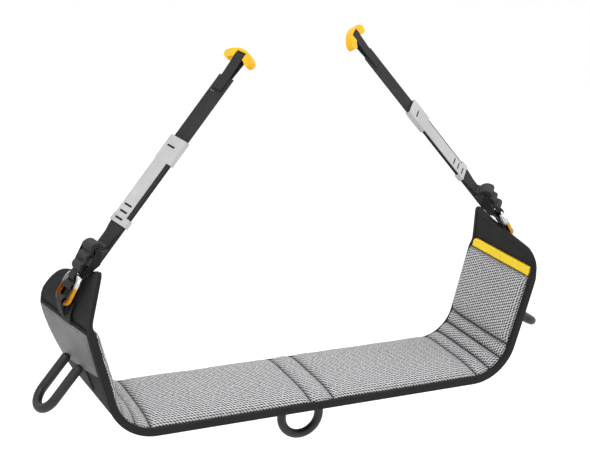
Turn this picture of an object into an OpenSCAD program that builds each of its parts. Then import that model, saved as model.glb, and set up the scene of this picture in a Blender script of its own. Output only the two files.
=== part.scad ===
// Hanging work seat: a padded board with raised wings, carried by two adjustable webbing straps.
// X runs along the seat, Y from front to rear and Z up. The origin is the middle of the seat, at seam level.
// A place on the padded shell is given by s, the length along it from the middle (left is negative),
// by t, the depth from front to rear, and by h, the height above seam level towards the sitter.

/* [Shell] */
// Length of the flat seat between the two bends
flat_len = 427; // [380:1:480]
// Depth of the seat from front edge to rear edge
seat_depth = 145; // [125:1:190]
// Radius of each bend at seam level
bend_r = 50; // [42:1:70]
// Angle that each bend turns through
bend_angle = 77; // [68:1:84]
// Height of each padded side panel along the wing
side_len = 93; // [80:1:130]
// How far the stiff wing reaches above the side panel
wing_rise = 3; // [1:0.5:8]
// Thickness of the stiff inner board
board_t = 4; // [2.5:0.5:6]
// Thickness of the outer cover
cover_t = 1.8; // [1:0.1:3]
// Gap between sewn layers
layer_gap = 0.2; // [0.1:0.05:0.4]

/* [Padding] */
// Depth of the pads below seam level
pad_sink = 2; // [1:0.5:4]
// Height of a pad's edge above seam level
pad_edge = 0.3; // [0.1:0.1:1]
// Crown of the two seat pads
seat_crown = 7.5; // [3:0.5:12]
// Crown of the side panels
side_crown = 6.5; // [3:0.5:10]
// Crown of the narrow rolls
roll_crown = 6.5; // [2:0.5:8]
// Width of the roll across the middle of the seat
centre_w = 30.4; // [20:0.2:50]
// Width of each roll in a bend
roll_w = 20; // [14:0.5:24]
// Rolls in each bend
roll_count = 3; // [2:1:3]
// Width over which a large pad rounds off to its seam
pad_round = 15; // [8:1:22]
// How far a pad's open sides draw in between its corners
draw_in = 1.4; // [0:0.1:3]
// Gap along each sewn channel
seam_gap = 0.7; // [0.3:0.1:1.5]

/* [Edge binding and bands] */
// Width of the edge binding
binding_w = 6.5; // [5:0.5:7]
// Height of the binding above seam level
binding_lip = 0.8; // [0.3:0.1:2]
// Height of the binding below the outer cover
binding_under = 0.4; // [0.2:0.1:1]
// Width of the coloured band above each side panel
band_w = 12.5; // [9:0.5:14]
// Height of the band above seam level
band_h = 2.4; // [1.5:0.1:4]
// Height of the band's edges above seam level
band_edge = 1; // [0.5:0.1:1.4]
// Space from the band's ends to the binding
band_inset = 2.5; // [2:0.5:8]

/* [Flaps] */
// Thickness of the soft flap on top of each wing
flap_t = 3.5; // [2.5:0.5:5]
// Length over which the shell turns from wing to flap
kink_len = 12; // [8:1:20]
// Height of the left flap at its front edge
left_front_h = 69; // [50:0.5:80]
// Height of the left flap at its rear edge
left_rear_h = 37; // [37:0.5:50]
// Height of the right flap at its front edge
right_front_h = 30.5; // [26:0.5:50]
// Height of the right flap at its rear edge
right_rear_h = 53.5; // [40:0.5:70]
// Radius of each flap's square corner
tall_corner_r = 9; // [8:0.5:14]
// Radius of the left flap's cut corner
left_cut_r = 38; // [9:1:38]
// Radius of the right flap's cut corner
right_cut_r = 18.5; // [9:0.5:26]
// Lean of the left flap at its front edge, from level
left_lean_front = 99; // [85:1:108]
// Lean of the left flap at its rear edge, from level
left_lean_rear = 115; // [95:1:118]
// Lean of the right flap at its front edge, from level
right_lean_front = 102.5; // [90:0.5:108]
// Lean of the right flap at its rear edge, from level
right_lean_rear = 88.5; // [80:0.5:105]
// Extra inward lean of the left flap where its strap lies on it
left_press = 15.5; // [10:0.5:16]
// Extra inward lean of the right flap where its strap lies on it
right_press = 3; // [0:1:12]
// Width of the stretch that a strap presses in
press_w = 42; // [30:1:60]

/* [Set of the wings] */
// How far the top of the left wing is splayed outwards
left_splay = 4; // [0:0.5:10]
// How far its rear edge is twisted outwards beyond that
left_twist = 23.5; // [0:0.5:26]
// How far its rear edge is drawn in towards the front
left_taper = 21; // [0:1:24]
// How far the top of the right wing is splayed outwards
right_splay = 3.5; // [0:0.5:10]
// How far its rear edge is twisted outwards beyond that
right_twist = -4; // [-8:0.5:8]
// Length of the wing over which its edge draws in
taper_len = 60; // [40:1:80]

/* [Outer patches and anchors] */
// Thickness of the patch on the outside of each wing
patch_t = 1.6; // [1:0.1:3]
// Lower edge of the patch, along the wing
patch_low = 13; // [8:1:18]
// Upper edge of the patch, along the wing
patch_high = 92; // [86:1:92]
// How much higher the patch's lower edge is at the front
patch_slant = 27; // [10:1:32]
// Space from the patch to the wing's front and rear edges
patch_inset = 7.2; // [7.2:0.2:16]
// Thickness of all webbing
web_t = 2; // [1.4:0.1:2.6]
// Width of the webbing that anchors each ring
anchor_w = 13; // [10:0.5:14]
// Length of the anchor loop from the ring to its stitching
anchor_len = 15; // [13:1:18]
// Distance of the left anchor in front of the middle of the depth
left_anchor_y = 12; // [6:1:16]
// Distance of the right anchor behind the middle of the depth
right_anchor_y = 15; // [6:1:18]
// Height of the left ring's seat above the wing's top
left_anchor_rise = 17; // [15:1:20]
// Height of the right ring's seat above the wing's top
right_anchor_rise = 31; // [26:1:33]

/* [Rings] */
// Diameter of the ring's rod
rod_d = 8; // [6:0.5:9]
// Height of the ring
ring_h = 39; // [37:1:50]
// Width of the ring
ring_w = 36; // [34:1:50]
// Corner radius at the middle of the rod
ring_corner_r = 7; // [6:0.5:9]
// Inward lean of the left ring at rest
left_ring_lean = 31; // [10:1:32]
// Inward lean of the right ring at rest
right_ring_lean = 31; // [8:1:33]

/* [Straps] */
// How far the main webbing lies inside the ring's axis
strap_in = 6.5; // [5:0.5:8]
// Width of the main webbing
strap_w = 25; // [20:1:28]
// Length of each strap from its ring to its toggle
strap_len = 314; // [290:1:380]
// Height of the main webbing's upper end below the toggle's bar
strap_top_gap = 29; // [20:1:40]
// Length of the doubled webbing under the keeper
tail_len = 112; // [60:1:120]
// Inward lean of the left strap at rest
left_strap_lean = 40.8; // [25:0.1:50]
// Inward lean of the right strap at rest
right_strap_lean = 40.9; // [25:0.1:50]
// Turn of the left strap towards the rear
left_turn = 9; // [0:0.1:15]
// Turn of the right strap towards the rear
right_turn = 11.2; // [0:0.1:15]
// Twist of the left webbing between ring and buckle
left_strap_twist = 13; // [-40:1:40]
// Twist of the right webbing between ring and buckle
right_strap_twist = -38; // [-45:1:45]

/* [Buckles] */
// Diameter of the buckle's bars
bar_d = 4.4; // [3.5:0.1:5]
// Thickness of the buckle's side rails
rail_t = 1.5; // [1.5:0.1:3]
// Wall of the rails round each bar
rail_wall = 0.8; // [0.4:0.1:1.5]
// Play between webbing and rails
rail_play = 0.3; // [0.3:0.1:1]
// Height of the lowest bar above the ring's top
bar_first = 14; // [12.5:0.5:18]
// Spacing from the lowest bar to the middle bar
bar_step = 11; // [10.5:0.5:14]
// Spacing from the middle bar to the top bar
bar_lift = 11; // [11:0.5:16]
// How far the top bar stands out from the ring's axis
bar_out = 7.2; // [6:0.2:9]
// Height above the top bar at which the doubled webbing lies together
fold_rise = 12; // [11:1:18]

/* [Keepers] */
// Height of the keeper's lower end above the ring's top
keeper_low = 75; // [68:1:90]
// Length of the keeper
keeper_len = 120; // [115:1:150]
// Wall of the keeper
keeper_t = 1.2; // [1:0.1:2]
// Width of the keeper's plate, from one edge of the strap
keeper_w = 20.5; // [18:0.5:25]
// Play between the keeper and the webbing inside it
keeper_play = 0.15; // [0.1:0.05:0.4]
// Length of the upper cuff
upper_cuff = 33; // [20:1:45]
// Length of the lower cuff
lower_cuff = 10; // [8:1:16]
// Length of each slot
slot_len = 13; // [8:1:16]
// Width of each slot
slot_w = 2.4; // [1.5:0.1:3.5]
// Distance of the upper slot from the keeper's top
top_slot = 13; // [8:1:20]

/* [Toggles] */
// Width of the toggle's webbing
toggle_web_w = 15; // [12:0.5:16]
// Thickness of the toggle's webbing
toggle_web_t = 1.6; // [1.2:0.1:2]
// Overlap of the toggle's webbing on the main webbing
toggle_lap = 19; // [12:1:26]
// Radius of the toggle's curved back
toggle_r = 34; // [30:1:45]
// Height of the toggle's curved body
toggle_h = 11; // [10:0.5:13]
// Half angle that the body spans
toggle_half_angle = 39; // [34:1:42]
// Thickness of the toggle
toggle_t = 9; // [8:0.5:12]
// Diameter of the bar that the webbing runs on
toggle_bar_d = 5.2; // [4:0.2:6]

/* [Equipment loops] */
// Diameter of the loop's tube
tube_d = 11.5; // [9:0.5:14]
// Distance between a side loop's legs
loop_w = 38; // [34:1:50]
// Reach of a side loop from its root
loop_reach = 68; // [60:1:90]
// Distance between the middle loop's legs
centre_loop_w = 52; // [40:1:64]
// Reach of the middle loop from its root
centre_loop_reach = 62; // [50:1:80]
// Height of the side loops along the wing
loop_s = 34; // [30:1:38]
// Depth of the middle loop's root, in front of the middle
loop_front = 5; // [0:1:30]
// Depth of the sewn strips that hold the loops
tab_deep = 9; // [7:0.5:9]
// Droop of the left loop below level
left_loop_droop = 49; // [20:1:70]
// Droop of the right loop below level
right_loop_droop = 28; // [20:1:70]

/* [Clearances] */
// Gap between parts that turn on each other
turn_gap = 0.3; // [0.2:0.05:0.5]
// Gap between a webbing's end and the piece it meets
end_gap = 0.1; // [0.05:0.05:0.3]

/* [Hidden] */
$fn = 48;

// Colours
black = [0.13, 0.13, 0.14];
mesh_grey = [0.66, 0.66, 0.67];
patch_grey = [0.48, 0.48, 0.49];
pale_grey = [0.81, 0.81, 0.82];
yellow = [0.98, 0.84, 0.2];
gold = [0.86, 0.6, 0.1];

// Stations along the shell
bend_len = bend_r * bend_angle * PI / 180;
s_bend = flat_len / 2;
s_wing = s_bend + bend_len;
s_band = s_wing + side_len;
s_flap = s_band + wing_rise;
half_depth = seat_depth / 2;
inner_depth = half_depth - binding_w - layer_gap;

// Layers through the shell, as heights from seam level
board_top = -pad_sink - 2 * layer_gap;
cover_top = board_top - board_t - layer_gap;
cover_out = cover_top - cover_t;
patch_in = cover_out - layer_gap;
patch_out = patch_in - patch_t;
tab_out = patch_in - web_t;
flap_top_h = -pad_sink - layer_gap * 2;
flap_out = flap_top_h - flap_t;

// Rods, bars and tubes
rod_r = rod_d / 2;
bar_r = bar_d / 2;
tube_r = tube_d / 2;
ring_rise = ring_h - rod_d;
tab_gap_out = tab_out - 2 * layer_gap;

// Layers of webbing in the strap
strap_x = -strap_in;
tail_x = strap_x + web_t + end_gap * 3;
twist_x = (strap_x + tail_x) / 2;
strap_top = strap_len - strap_top_gap;

// Bars of the buckle, as [out, up] from the ring's top
bar_web_r = bar_r + end_gap + web_t / 2;
bar_1 = [bar_out / 5, bar_first];
bar_2 = [strap_x + bar_web_r, bar_first + bar_step];
bar_3 = [bar_out, bar_first + bar_step + bar_lift];

// Length by which a cut or a joined piece runs past the face it crosses
cut = 1;

// Places of the three lower slots, from the keeper's lower end
low_slots = [6, 15, 24];

// Values that differ from side to side: -1 is left, 1 is right
function pick(side, left, right) = side < 0 ? left : right;
function anchor_t(side) = pick(side, -left_anchor_y, right_anchor_y);
function anchor_s(side) = side * (s_flap + pick(side, left_anchor_rise, right_anchor_rise));
function heading(side) = pick(side, 180 + left_turn, -right_turn);
function strap_lean(side) = pick(side, left_strap_lean, right_strap_lean);
function ring_lean(side) = pick(side, left_ring_lean, right_ring_lean);
function strap_twist(side) = pick(side, left_strap_twist, right_strap_twist);
function loop_droop(side) = pick(side, left_loop_droop, right_loop_droop);

// Shape of the shell
function ramp(x) = let (c = min(1, max(0, x))) c * c * (3 - 2 * c);
function unit(v) = v / norm(v);
function bell(x) = exp(-x * x);

// Share of the way from the front edge to the rear edge
function rear_share(t) = t / seat_depth + 0.5;

// Lean of a flap at depth t
function flap_lean(side, t) =
  pick(side, left_lean_front, right_lean_front) * (1 - rear_share(t))
  + pick(side, left_lean_rear, right_lean_rear) * rear_share(t)
  + pick(side, left_press, right_press) * bell((t - anchor_t(side)) / press_w);

// End of an arc of the given length that turns from lean a to lean b
function arc_end(p, a, b, len) =
  abs(b - a) < 0.01 ? p + len * [cos(a), sin(a)]
  : p + len * 180 / PI / (b - a) * [sin(b) - sin(a), cos(a) - cos(b)];

// Profile of one half of the shell as [out, up]
function profile(d, lean) =
  d <= s_bend ? [d, 0]
  : d <= s_wing ? arc_end([s_bend, 0], 0, bend_angle * (d - s_bend) / bend_len, d - s_bend)
  : d <= s_flap ? wing_point(d)
  : let (
      k = min(d - s_flap, kink_len),
      q = bend_angle + (lean - bend_angle) * k / kink_len
    )
    arc_end(wing_point(s_flap), bend_angle, q, k) + (d - s_flap - k) * [cos(q), sin(q)];
function wing_point(d) =
  arc_end([s_bend, 0], 0, bend_angle, bend_len) + (d - s_wing) * [cos(bend_angle), sin(bend_angle)];

// Point of the shell at seam level, with the set of each wing
function shell(s, t) =
  let (
    side = s < 0 ? -1 : 1,
    p = profile(abs(s), flap_lean(side, t)),
    splay = pick(side, left_splay, right_splay) + pick(side, left_twist, right_twist) * rear_share(t),
    taper = pick(side, left_taper, 0) * ramp((abs(s) - s_flap + taper_len) / (taper_len + kink_len))
  )
  [side * (p[0] + splay * ramp((abs(s) - s_bend) / (s_flap - s_bend))), t - taper * rear_share(t), p[1]];

// Slope of the shell, found with a small step to each side
probe = 0.05;
function shell_normal(s, t) =
  unit(cross(shell(s + probe, t) - shell(s - probe, t), shell(s, t + probe) - shell(s, t - probe)));
function at(s, t, h) = shell(s, t) + h * shell_normal(s, t);

// Stations from a to b with a few steps in each
function steps(a, b, n) = [for (k = [0 : n]) a + (b - a) * k / n];
function signed(side, list) =
  side > 0 ? list : [for (k = [len(list) - 1 : -1 : 0]) -list[k]];
flat_steps = 3;
turn_steps = 8;
wing_steps = 6;
half_stations = concat(
  steps(0, s_bend, flat_steps),
  [for (k = [1 : turn_steps]) s_bend + bend_len * k / turn_steps],
  [for (k = [1 : wing_steps]) s_wing + (s_flap - s_wing) * k / wing_steps]);
function stations(reach) =
  let (right = concat([for (s = half_stations) if (s < reach - 1) s], [reach]))
  concat([for (k = [len(right) - 1 : -1 : 1]) -right[k]], right);

// Solid between an upper and a lower grid of points
module grid_solid(upper, lower) {
  n = len(upper);
  m = len(upper[0]);
  function up(i, j) = i * m + j;
  function low(i, j) = n * m + i * m + j;
  quads = concat(
    [for (i = [0 : n - 2], j = [0 : m - 2]) [up(i, j), up(i, j + 1), up(i + 1, j + 1), up(i + 1, j)]],
    [for (i = [0 : n - 2], j = [0 : m - 2]) [low(i, j), low(i + 1, j), low(i + 1, j + 1), low(i, j + 1)]],
    [for (j = [0 : m - 2]) [up(0, j), low(0, j), low(0, j + 1), up(0, j + 1)]],
    [for (j = [0 : m - 2]) [up(n - 1, j), up(n - 1, j + 1), low(n - 1, j + 1), low(n - 1, j)]],
    [for (i = [0 : n - 2]) [up(i, 0), up(i + 1, 0), low(i + 1, 0), low(i, 0)]],
    [for (i = [0 : n - 2]) [up(i, m - 1), low(i, m - 1), low(i + 1, m - 1), up(i + 1, m - 1)]]);
  polyhedron(
    concat([for (row = upper) each row], [for (row = lower) each row]),
    [for (q = quads) each [[q[0], q[1], q[2]], [q[0], q[2], q[3]]]]);
}

// Layer of even thickness on the shell
module layer(s_list, t_list, h_top, h_low) {
  grid_solid(
    [for (s = s_list) [for (t = t_list) at(s, t, h_top)]],
    [for (s = s_list) [for (t = t_list) at(s, t, h_low)]]);
}

// Stations across a pad, close together where it rounds off
round_shares = [0, 0.06, 0.22, 0.5];
function pad_stations(a, b, round, n) =
  let (f = min(round, (b - a) / 2))
  concat(
    [for (k = round_shares) a + f * k],
    b - a - 2 * f < f / 2 ? [(a + b) / 2] : steps(a + f, b - f, n),
    [for (k = [len(round_shares) - 1 : -1 : 0]) b - f * round_shares[k]]);
function round_off(d, f) = d >= f ? 1 : sqrt(max(0, 1 - pow(1 - d / f, 2)));

// Crowned pads in a row, each span [a, b] sewn down along its edges
module pads(spans, crown, steps_s, steps_t) {
  rows = [for (v = spans)
    let (f = min(pad_round, (v[1] - v[0]) / 2))
    for (s = pad_stations(v[0], v[1], f, steps_s))
      [s, min(s - v[0], v[1] - s), f, (2 * s - v[0] - v[1]) / (v[1] - v[0])]];
  t_list = pad_stations(-inner_depth, inner_depth, pad_round, steps_t);
  function side_t(row, t) = t * (1 - draw_in / inner_depth * (1 - row[3] * row[3]));
  function height(row, t) =
    pad_edge + crown * round_off(row[1], row[2]) * round_off(inner_depth - abs(t), pad_round);
  grid_solid(
    [for (row = rows) [for (t = t_list) at(row[0], side_t(row, t), height(row, t))]],
    [for (row = rows) [for (t = t_list) at(row[0], side_t(row, t), -pad_sink)]]);
}

// Span of the shell on one side, from the smaller station to the larger
function span(side, a, b) = side > 0 ? [a, b] : [-b, -a];

// Top edge of a flap, as [distance along the shell, depth], moved in by an offset
function flap_height(side, t) =
  let (
    front = pick(side, left_front_h, right_front_h),
    rear = pick(side, left_rear_h, right_rear_h)
  )
  s_flap + front + (rear - front) * rear_share(t);
corner_steps = 6;
edge_steps = 6;
function flap_edge(side, offset) =
  let (
    edge = half_depth - offset,
    front_r = pick(side, tall_corner_r, right_cut_r) - offset,
    rear_r = pick(side, left_cut_r, tall_corner_r) - offset
  )
  concat(
    [for (k = [0 : corner_steps])
      let (q = 90 * k / corner_steps, t = -edge + front_r * (1 - cos(q)))
      [flap_height(side, t) - offset - front_r * (1 - sin(q)), t]],
    [for (k = [1 : edge_steps - 1])
      let (t = (front_r - edge) + (2 * edge - front_r - rear_r) * k / edge_steps)
      [flap_height(side, t) - offset, t]],
    [for (k = [corner_steps : -1 : 0])
      let (q = 90 * k / corner_steps, t = edge - rear_r * (1 - cos(q)))
      [flap_height(side, t) - offset - rear_r * (1 - sin(q)), t]]);

// Outline of one side's edge from the middle up to the flap's corner, as stations along the shell
kink_steps = 3;
function edge_stations(reach) =
  [for (s = concat(half_stations, [for (k = [1 : kink_steps]) s_flap + kink_len * k / kink_steps]))
    if (s < reach - 1) s];

// Outline of one half of the shell from the front middle round to the rear middle, moved in by an offset
function half_outline(side, offset) =
  let (
    edge = half_depth - offset,
    corner = flap_edge(side, offset),
    front = edge_stations(corner[0][0]),
    rear = edge_stations(corner[len(corner) - 1][0])
  )
  concat(
    [for (s = front) [side * s, -edge]],
    [for (p = corner) [side * p[0], p[1]]],
    [for (k = [len(rear) - 1 : -1 : 0]) [side * rear[k], edge]]);

// Outline of the whole shell, as [s, t]
function outline(offset) =
  let (right = half_outline(1, offset), left = half_outline(-1, offset))
  concat(right, [for (k = [len(left) - 2 : -1 : 1]) left[k]]);

// Sub-parts of the shell
shell_depths = steps(-inner_depth, inner_depth, 6);

module frame_board() {
  color(black) layer(stations(s_flap - layer_gap), shell_depths, board_top, board_top - board_t);
}

module outer_cover() {
  color(black) layer(stations(s_flap - layer_gap), shell_depths, cover_top, cover_out);
}

module edge_binding() {
  outer = outline(0);
  inner = outline(binding_w);
  n = len(outer);
  function flap_share(s) = ramp((abs(s) - s_flap + kink_len / 2) / kink_len);
  function high(s) = binding_lip + flap_top_h * flap_share(s);
  function low(s) = cover_out - binding_under + (flap_out - cover_out) * flap_share(s);
  points = [for (i = [0 : n - 1]) each [
    at(outer[i][0], outer[i][1], low(outer[i][0])), at(outer[i][0], outer[i][1], high(outer[i][0])),
    at(inner[i][0], inner[i][1], high(inner[i][0])), at(inner[i][0], inner[i][1], low(inner[i][0]))]];
  faces = [for (i = [0 : n - 1], j = [0 : 3])
    let (next = (i + 1) % n, k = (j + 1) % 4)
    each [[4 * i + j, 4 * i + k, 4 * next + k], [4 * i + j, 4 * next + k, 4 * next + j]]];
  color(black) polyhedron(points, faces);
}

module seat_pad(side) {
  inner_s = centre_w / 2 + seam_gap / 2;
  outer_s = s_wing - roll_count * roll_w - seam_gap / 2;
  color(mesh_grey) pads([span(side, inner_s, outer_s)], seat_crown, 4, 4);
}

module centre_roll() {
  half = centre_w / 2 - seam_gap / 2;
  color(mesh_grey) pads([[-half, half]], roll_crown, 1, 4);
}

module bend_rolls(side) {
  order = side > 0 ? [0 : roll_count - 1] : [roll_count - 1 : -1 : 0];
  function start(k) = s_wing - (roll_count - k) * roll_w;
  spans = [for (k = order) span(side, start(k) + seam_gap / 2, start(k) + roll_w - seam_gap / 2)];
  color(mesh_grey) pads(spans, roll_crown, 1, 2);
}

module side_pad(side) {
  color(mesh_grey) pads([span(side, s_wing + seam_gap / 2, s_band - seam_gap / 2)], side_crown, 3, 4);
}

module band(side) {
  a = s_band + seam_gap / 2;
  b = s_band + band_w - seam_gap / 2;
  round_s = band_w / 4;
  s_list = signed(side, [a, a + round_s / 3, a + round_s, (a + b) / 2, b - round_s, b - round_s / 3, b]);
  t_list = steps(band_inset - inner_depth, inner_depth - band_inset, 8);
  function height(s) = band_edge + (band_h - band_edge) * round_off(min(abs(s) - a, b - abs(s)), round_s);
  color(yellow) grid_solid(
    [for (s = s_list) [for (t = t_list) at(s, t, height(s))]],
    [for (s = s_list) [for (t = t_list) at(s, t, -pad_sink)]]);
}

module flap(side) {
  edge = flap_edge(side, binding_w + layer_gap);
  rows = 7;
  row_bias = 1.5;
  function row_s(j, p) = side * (s_flap + layer_gap + (p[0] - s_flap - layer_gap) * pow(j / rows, row_bias));
  upper = [for (j = [0 : rows]) [for (p = edge) at(row_s(j, p), p[1], flap_top_h)]];
  lower = [for (j = [0 : rows]) [for (p = edge) at(row_s(j, p), p[1], flap_out)]];
  function turned(grid) = side > 0 ? grid : [for (j = [rows : -1 : 0]) grid[j]];
  color(black) grid_solid(turned(upper), turned(lower));
}

// Lower edge of a patch at depth t
function patch_edge(t) = s_wing + patch_low + patch_slant * (1 - rear_share(t));

module patch(side) {
  edge = half_depth - patch_inset;
  t_list = steps(-edge, edge, 6);
  rows = 5;
  function row_s(j, t) = side * (patch_edge(t) + (s_wing + patch_high - patch_edge(t)) * j / rows);
  order = side > 0 ? [0 : rows] : [rows : -1 : 0];
  color(patch_grey) grid_solid(
    [for (j = order) [for (t = t_list) at(row_s(j, t), t, patch_in)]],
    [for (j = order) [for (t = t_list) at(row_s(j, t), t, patch_out)]]);
}

// Webbing strip from the patch up to the ring, with the anchor loop sewn onto it
module anchor_tab(side) {
  a = s_wing + patch_high + layer_gap;
  b = abs(anchor_s(side));
  mid = anchor_t(side);
  t_list = steps(mid - strap_w / 2, mid + strap_w / 2, 4);
  color(black) layer(signed(side, steps(a, b, 6)), t_list, patch_in, tab_out);
}

// Places of the ring and of the strap
function across(side) = [-sin(heading(side)), cos(heading(side)), 0];
function loop_end_s(side) = anchor_s(side) - side * anchor_len;

// Outward direction of the flat anchor loop, and the room it needs to clear the wing's bulge
function belt_out(side) =
  let (t = anchor_t(side))
  unit(cross(across(side), shell(anchor_s(side), t) - shell(loop_end_s(side), t)));
function anchor_slack(side) =
  let (
    a = loop_end_s(side),
    b = anchor_s(side),
    t = anchor_t(side)
  )
  max([for (k = steps(0, 1, 6), j = [-1, 0, 1])
    (shell(a + (b - a) * k, t + j * anchor_w / 2) - shell(a, t)) * belt_out(side)]);
function belt_point(side, s, h) = shell(s, anchor_t(side)) + (anchor_slack(side) - h) * belt_out(side);
function ring_seat(side) = belt_point(side, anchor_s(side), tab_gap_out - web_t - turn_gap - rod_r);
function inward(side, lean) = [-sin(lean) * cos(heading(side)), -sin(lean) * sin(heading(side)), cos(lean)];
function ring_top(side) = ring_seat(side) + ring_rise * inward(side, ring_lean(side));

module at_ring(side) {
  translate(ring_seat(side)) rotate([0, 0, heading(side)]) rotate([0, -ring_lean(side), 0]) children();
}

module at_strap(side) {
  translate(ring_top(side)) rotate([0, 0, heading(side)]) rotate([0, -strap_lean(side), 0]) children();
}

// Frame of the webbing above the twist
module at_upper(side) {
  at_strap(side) translate([twist_x, 0, 0]) rotate([0, 0, strap_twist(side)])
    translate([-twist_x, 0, 0]) children();
}

// Turns a flat [out, up] outline into a piece of the given width along Y
module across_strap(width) {
  rotate([90, 0, 0]) linear_extrude(width, center = true) children();
}

// Webbing wrapped round two circles, with even steps round each bend
wrap_steps = 24;
function arc(c, r, from, to) = [for (q = steps(from, to, wrap_steps)) c + r * [cos(q), sin(q)]];
function wrap(p, p_r, q, q_r) =
  let (
    d = q - p,
    lean = atan2(d[1], d[0]),
    half = acos((p_r - q_r) / norm(d))
  )
  concat(arc(q, q_r, lean - half, lean + half), arc(p, p_r, lean + half, lean + 360 - half));

// Rounded corner at b of an outline that runs anticlockwise from a to c
function corner(a, b, c, r) =
  let (
    from = atan2(b[1] - a[1], b[0] - a[0]) - 90,
    to = atan2(c[1] - b[1], c[0] - b[0]) - 90
  )
  arc(b, r, from, from + (to - from + 720) % 360);

module belt(p, p_r, q, q_r, thick, width) {
  across_strap(width) difference() {
    polygon(wrap(p, p_r + thick, q, q_r + thick));
    polygon(wrap(p, p_r, q, q_r));
  }
}

module bar(p, r, width) {
  translate([p[0], 0, p[1]]) rotate([90, 0, 0]) cylinder(h = width, r = r, center = true);
}

module anchor_loop(side) {
  seat = ring_seat(side);
  end = belt_point(side, loop_end_s(side), tab_gap_out - web_t - end_gap) - seat;
  out = [cos(heading(side)), sin(heading(side)), 0];
  color(black) translate(seat) rotate([0, 0, heading(side)])
    belt([0, 0], rod_r + turn_gap, [end * out, end[2]], end_gap, web_t, anchor_w);
}

module ring(side) {
  half_w = ring_w / 2 - rod_r;
  half_h = ring_rise / 2;
  straight_w = 2 * (half_w - ring_corner_r);
  straight_h = 2 * (half_h - ring_corner_r);
  color(gold) at_ring(side) translate([0, 0, half_h]) rotate([90, 0, 90])
    for (turn = [0, 180]) rotate([0, 0, turn]) {
      translate([0, half_h, 0]) rotate([0, 90, 0]) cylinder(h = straight_w, r = rod_r, center = true);
      translate([half_w, 0, 0]) rotate([90, 0, 0]) cylinder(h = straight_h, r = rod_r, center = true);
      for (corner = [0, 1]) mirror([corner, 0, 0])
        translate([half_w - ring_corner_r, half_h - ring_corner_r, 0])
          rotate_extrude(angle = 90) translate([ring_corner_r, 0]) circle(rod_r);
    }
}

// Twist of the narrow webbing, which starts clear of the ring and ends at the lowest bar
link_low = rod_r * 0.75;
link_high = bar_first - bar_r / 2;
link_steps = 6;
function turned(side, p, y) =
  let (q = strap_twist(side) * ramp((p[1] - link_low) / (link_high - link_low)), x = p[0] - twist_x)
  [twist_x + x * cos(q) - y * sin(q), x * sin(q) + y * cos(q), p[1]];
function between(a, b) = [for (k = [1 : link_steps - 1]) a + (b - a) * k / link_steps];
link_wrap = wrap([0, 0], rod_r + turn_gap + web_t / 2, bar_1, bar_web_r);
link_path = concat(
  [for (i = [0 : wrap_steps]) link_wrap[i]],
  between(link_wrap[wrap_steps], link_wrap[wrap_steps + 1]),
  [for (i = [wrap_steps + 1 : 2 * wrap_steps + 1]) link_wrap[i]],
  between(link_wrap[2 * wrap_steps + 1], link_wrap[0]));

module link(side) {
  n = len(link_path);
  y = anchor_w / 2;
  function direction(i) = unit(link_path[(i + 1) % n] - link_path[(i + n - 1) % n]);
  points = [for (i = [0 : n - 1])
    let (p = link_path[i], d = direction(i), u = p + web_t / 2 * [-d[1], d[0]], v = 2 * p - u)
    each [turned(side, u, y), turned(side, u, -y), turned(side, v, -y), turned(side, v, y)]];
  // Both faces are split along the same diagonal, so that the twist keeps its thickness
  function split(a, b, c, d, j) = j < 2 ? [[a, d, b], [a, c, d]] : [[a, c, b], [b, c, d]];
  faces = [for (i = [0 : n - 1], j = [0 : 3])
    let (next = (i + 1) % n, k = (j + 1) % 4)
    each split(4 * i + j, 4 * i + k, 4 * next + j, 4 * next + k, j)];
  color(black) at_strap(side) polyhedron(points, faces);
}

module buckle(side) {
  inside = strap_w + 2 * rail_play;
  color(black) at_upper(side) {
    for (p = [bar_1, bar_2, bar_3]) bar(p, bar_r, inside + 2 * rail_t);
    for (edge = [-1, 1]) translate([0, edge * (inside + rail_t) / 2, 0]) across_strap(rail_t)
      polygon(concat(
        corner(bar_2, bar_1, bar_3, bar_r + rail_wall),
        corner(bar_1, bar_3, bar_2, bar_r + rail_wall),
        corner(bar_3, bar_2, bar_1, bar_r + rail_wall)));
  }
}

// Route of the webbing in the buckle, as [out, up]:
// down inside, round the middle bar, over the top bar and up again on the outside
bend_steps = 8;
rise_steps = 8;
fold_h = bar_3[1] + fold_rise;
join_h = keeper_low - end_gap;
wrap_angle = atan2(bar_3[1] - bar_2[1], bar_3[0] - bar_2[0]) - 90;
top_angle = 80;
function round_bar(c, from, to) =
  [for (q = steps(from, to, bend_steps)) c + bar_web_r * [cos(q), sin(q)]];
function curve(p, q, r, s, k) =
  pow(1 - k, 3) * p + 3 * k * pow(1 - k, 2) * q + 3 * k * k * (1 - k) * r + pow(k, 3) * s;
over_bar = bar_3 + bar_web_r * [cos(top_angle), sin(top_angle)];
over_lead = over_bar + bar_web_r * 2 * [-sin(top_angle), cos(top_angle)];
tail_start = [tail_x, fold_h];
tail_lead = tail_start - [0, fold_rise / 2];
buckle_route = concat(
  [[strap_x, join_h]],
  round_bar(bar_2, 180, 360 + wrap_angle),
  round_bar(bar_3, wrap_angle, top_angle),
  [for (k = [1 : rise_steps]) curve(over_bar, over_lead, tail_lead, tail_start, k / rise_steps)],
  [[tail_x, join_h]]);

module strap_lower(side) {
  n = len(buckle_route);
  function direction(i) = unit(buckle_route[min(i + 1, n - 1)] - buckle_route[max(i - 1, 0)]);
  function face(i, h) =
    let (d = direction(i))
    buckle_route[i] + h * [-d[1], d[0]];
  color(black) at_upper(side) across_strap(strap_w) polygon(concat(
    [for (i = [0 : n - 1]) face(i, web_t / 2)],
    [for (i = [n - 1 : -1 : 0]) face(i, -web_t / 2)]));
}

module webbing(x, low, high, width, thick) {
  translate([x - thick / 2, -width / 2, low]) cube([thick, width, high - low]);
}

module strap(side) {
  color(black) at_upper(side) webbing(strap_x, keeper_low, strap_top, strap_w, web_t);
}

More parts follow.
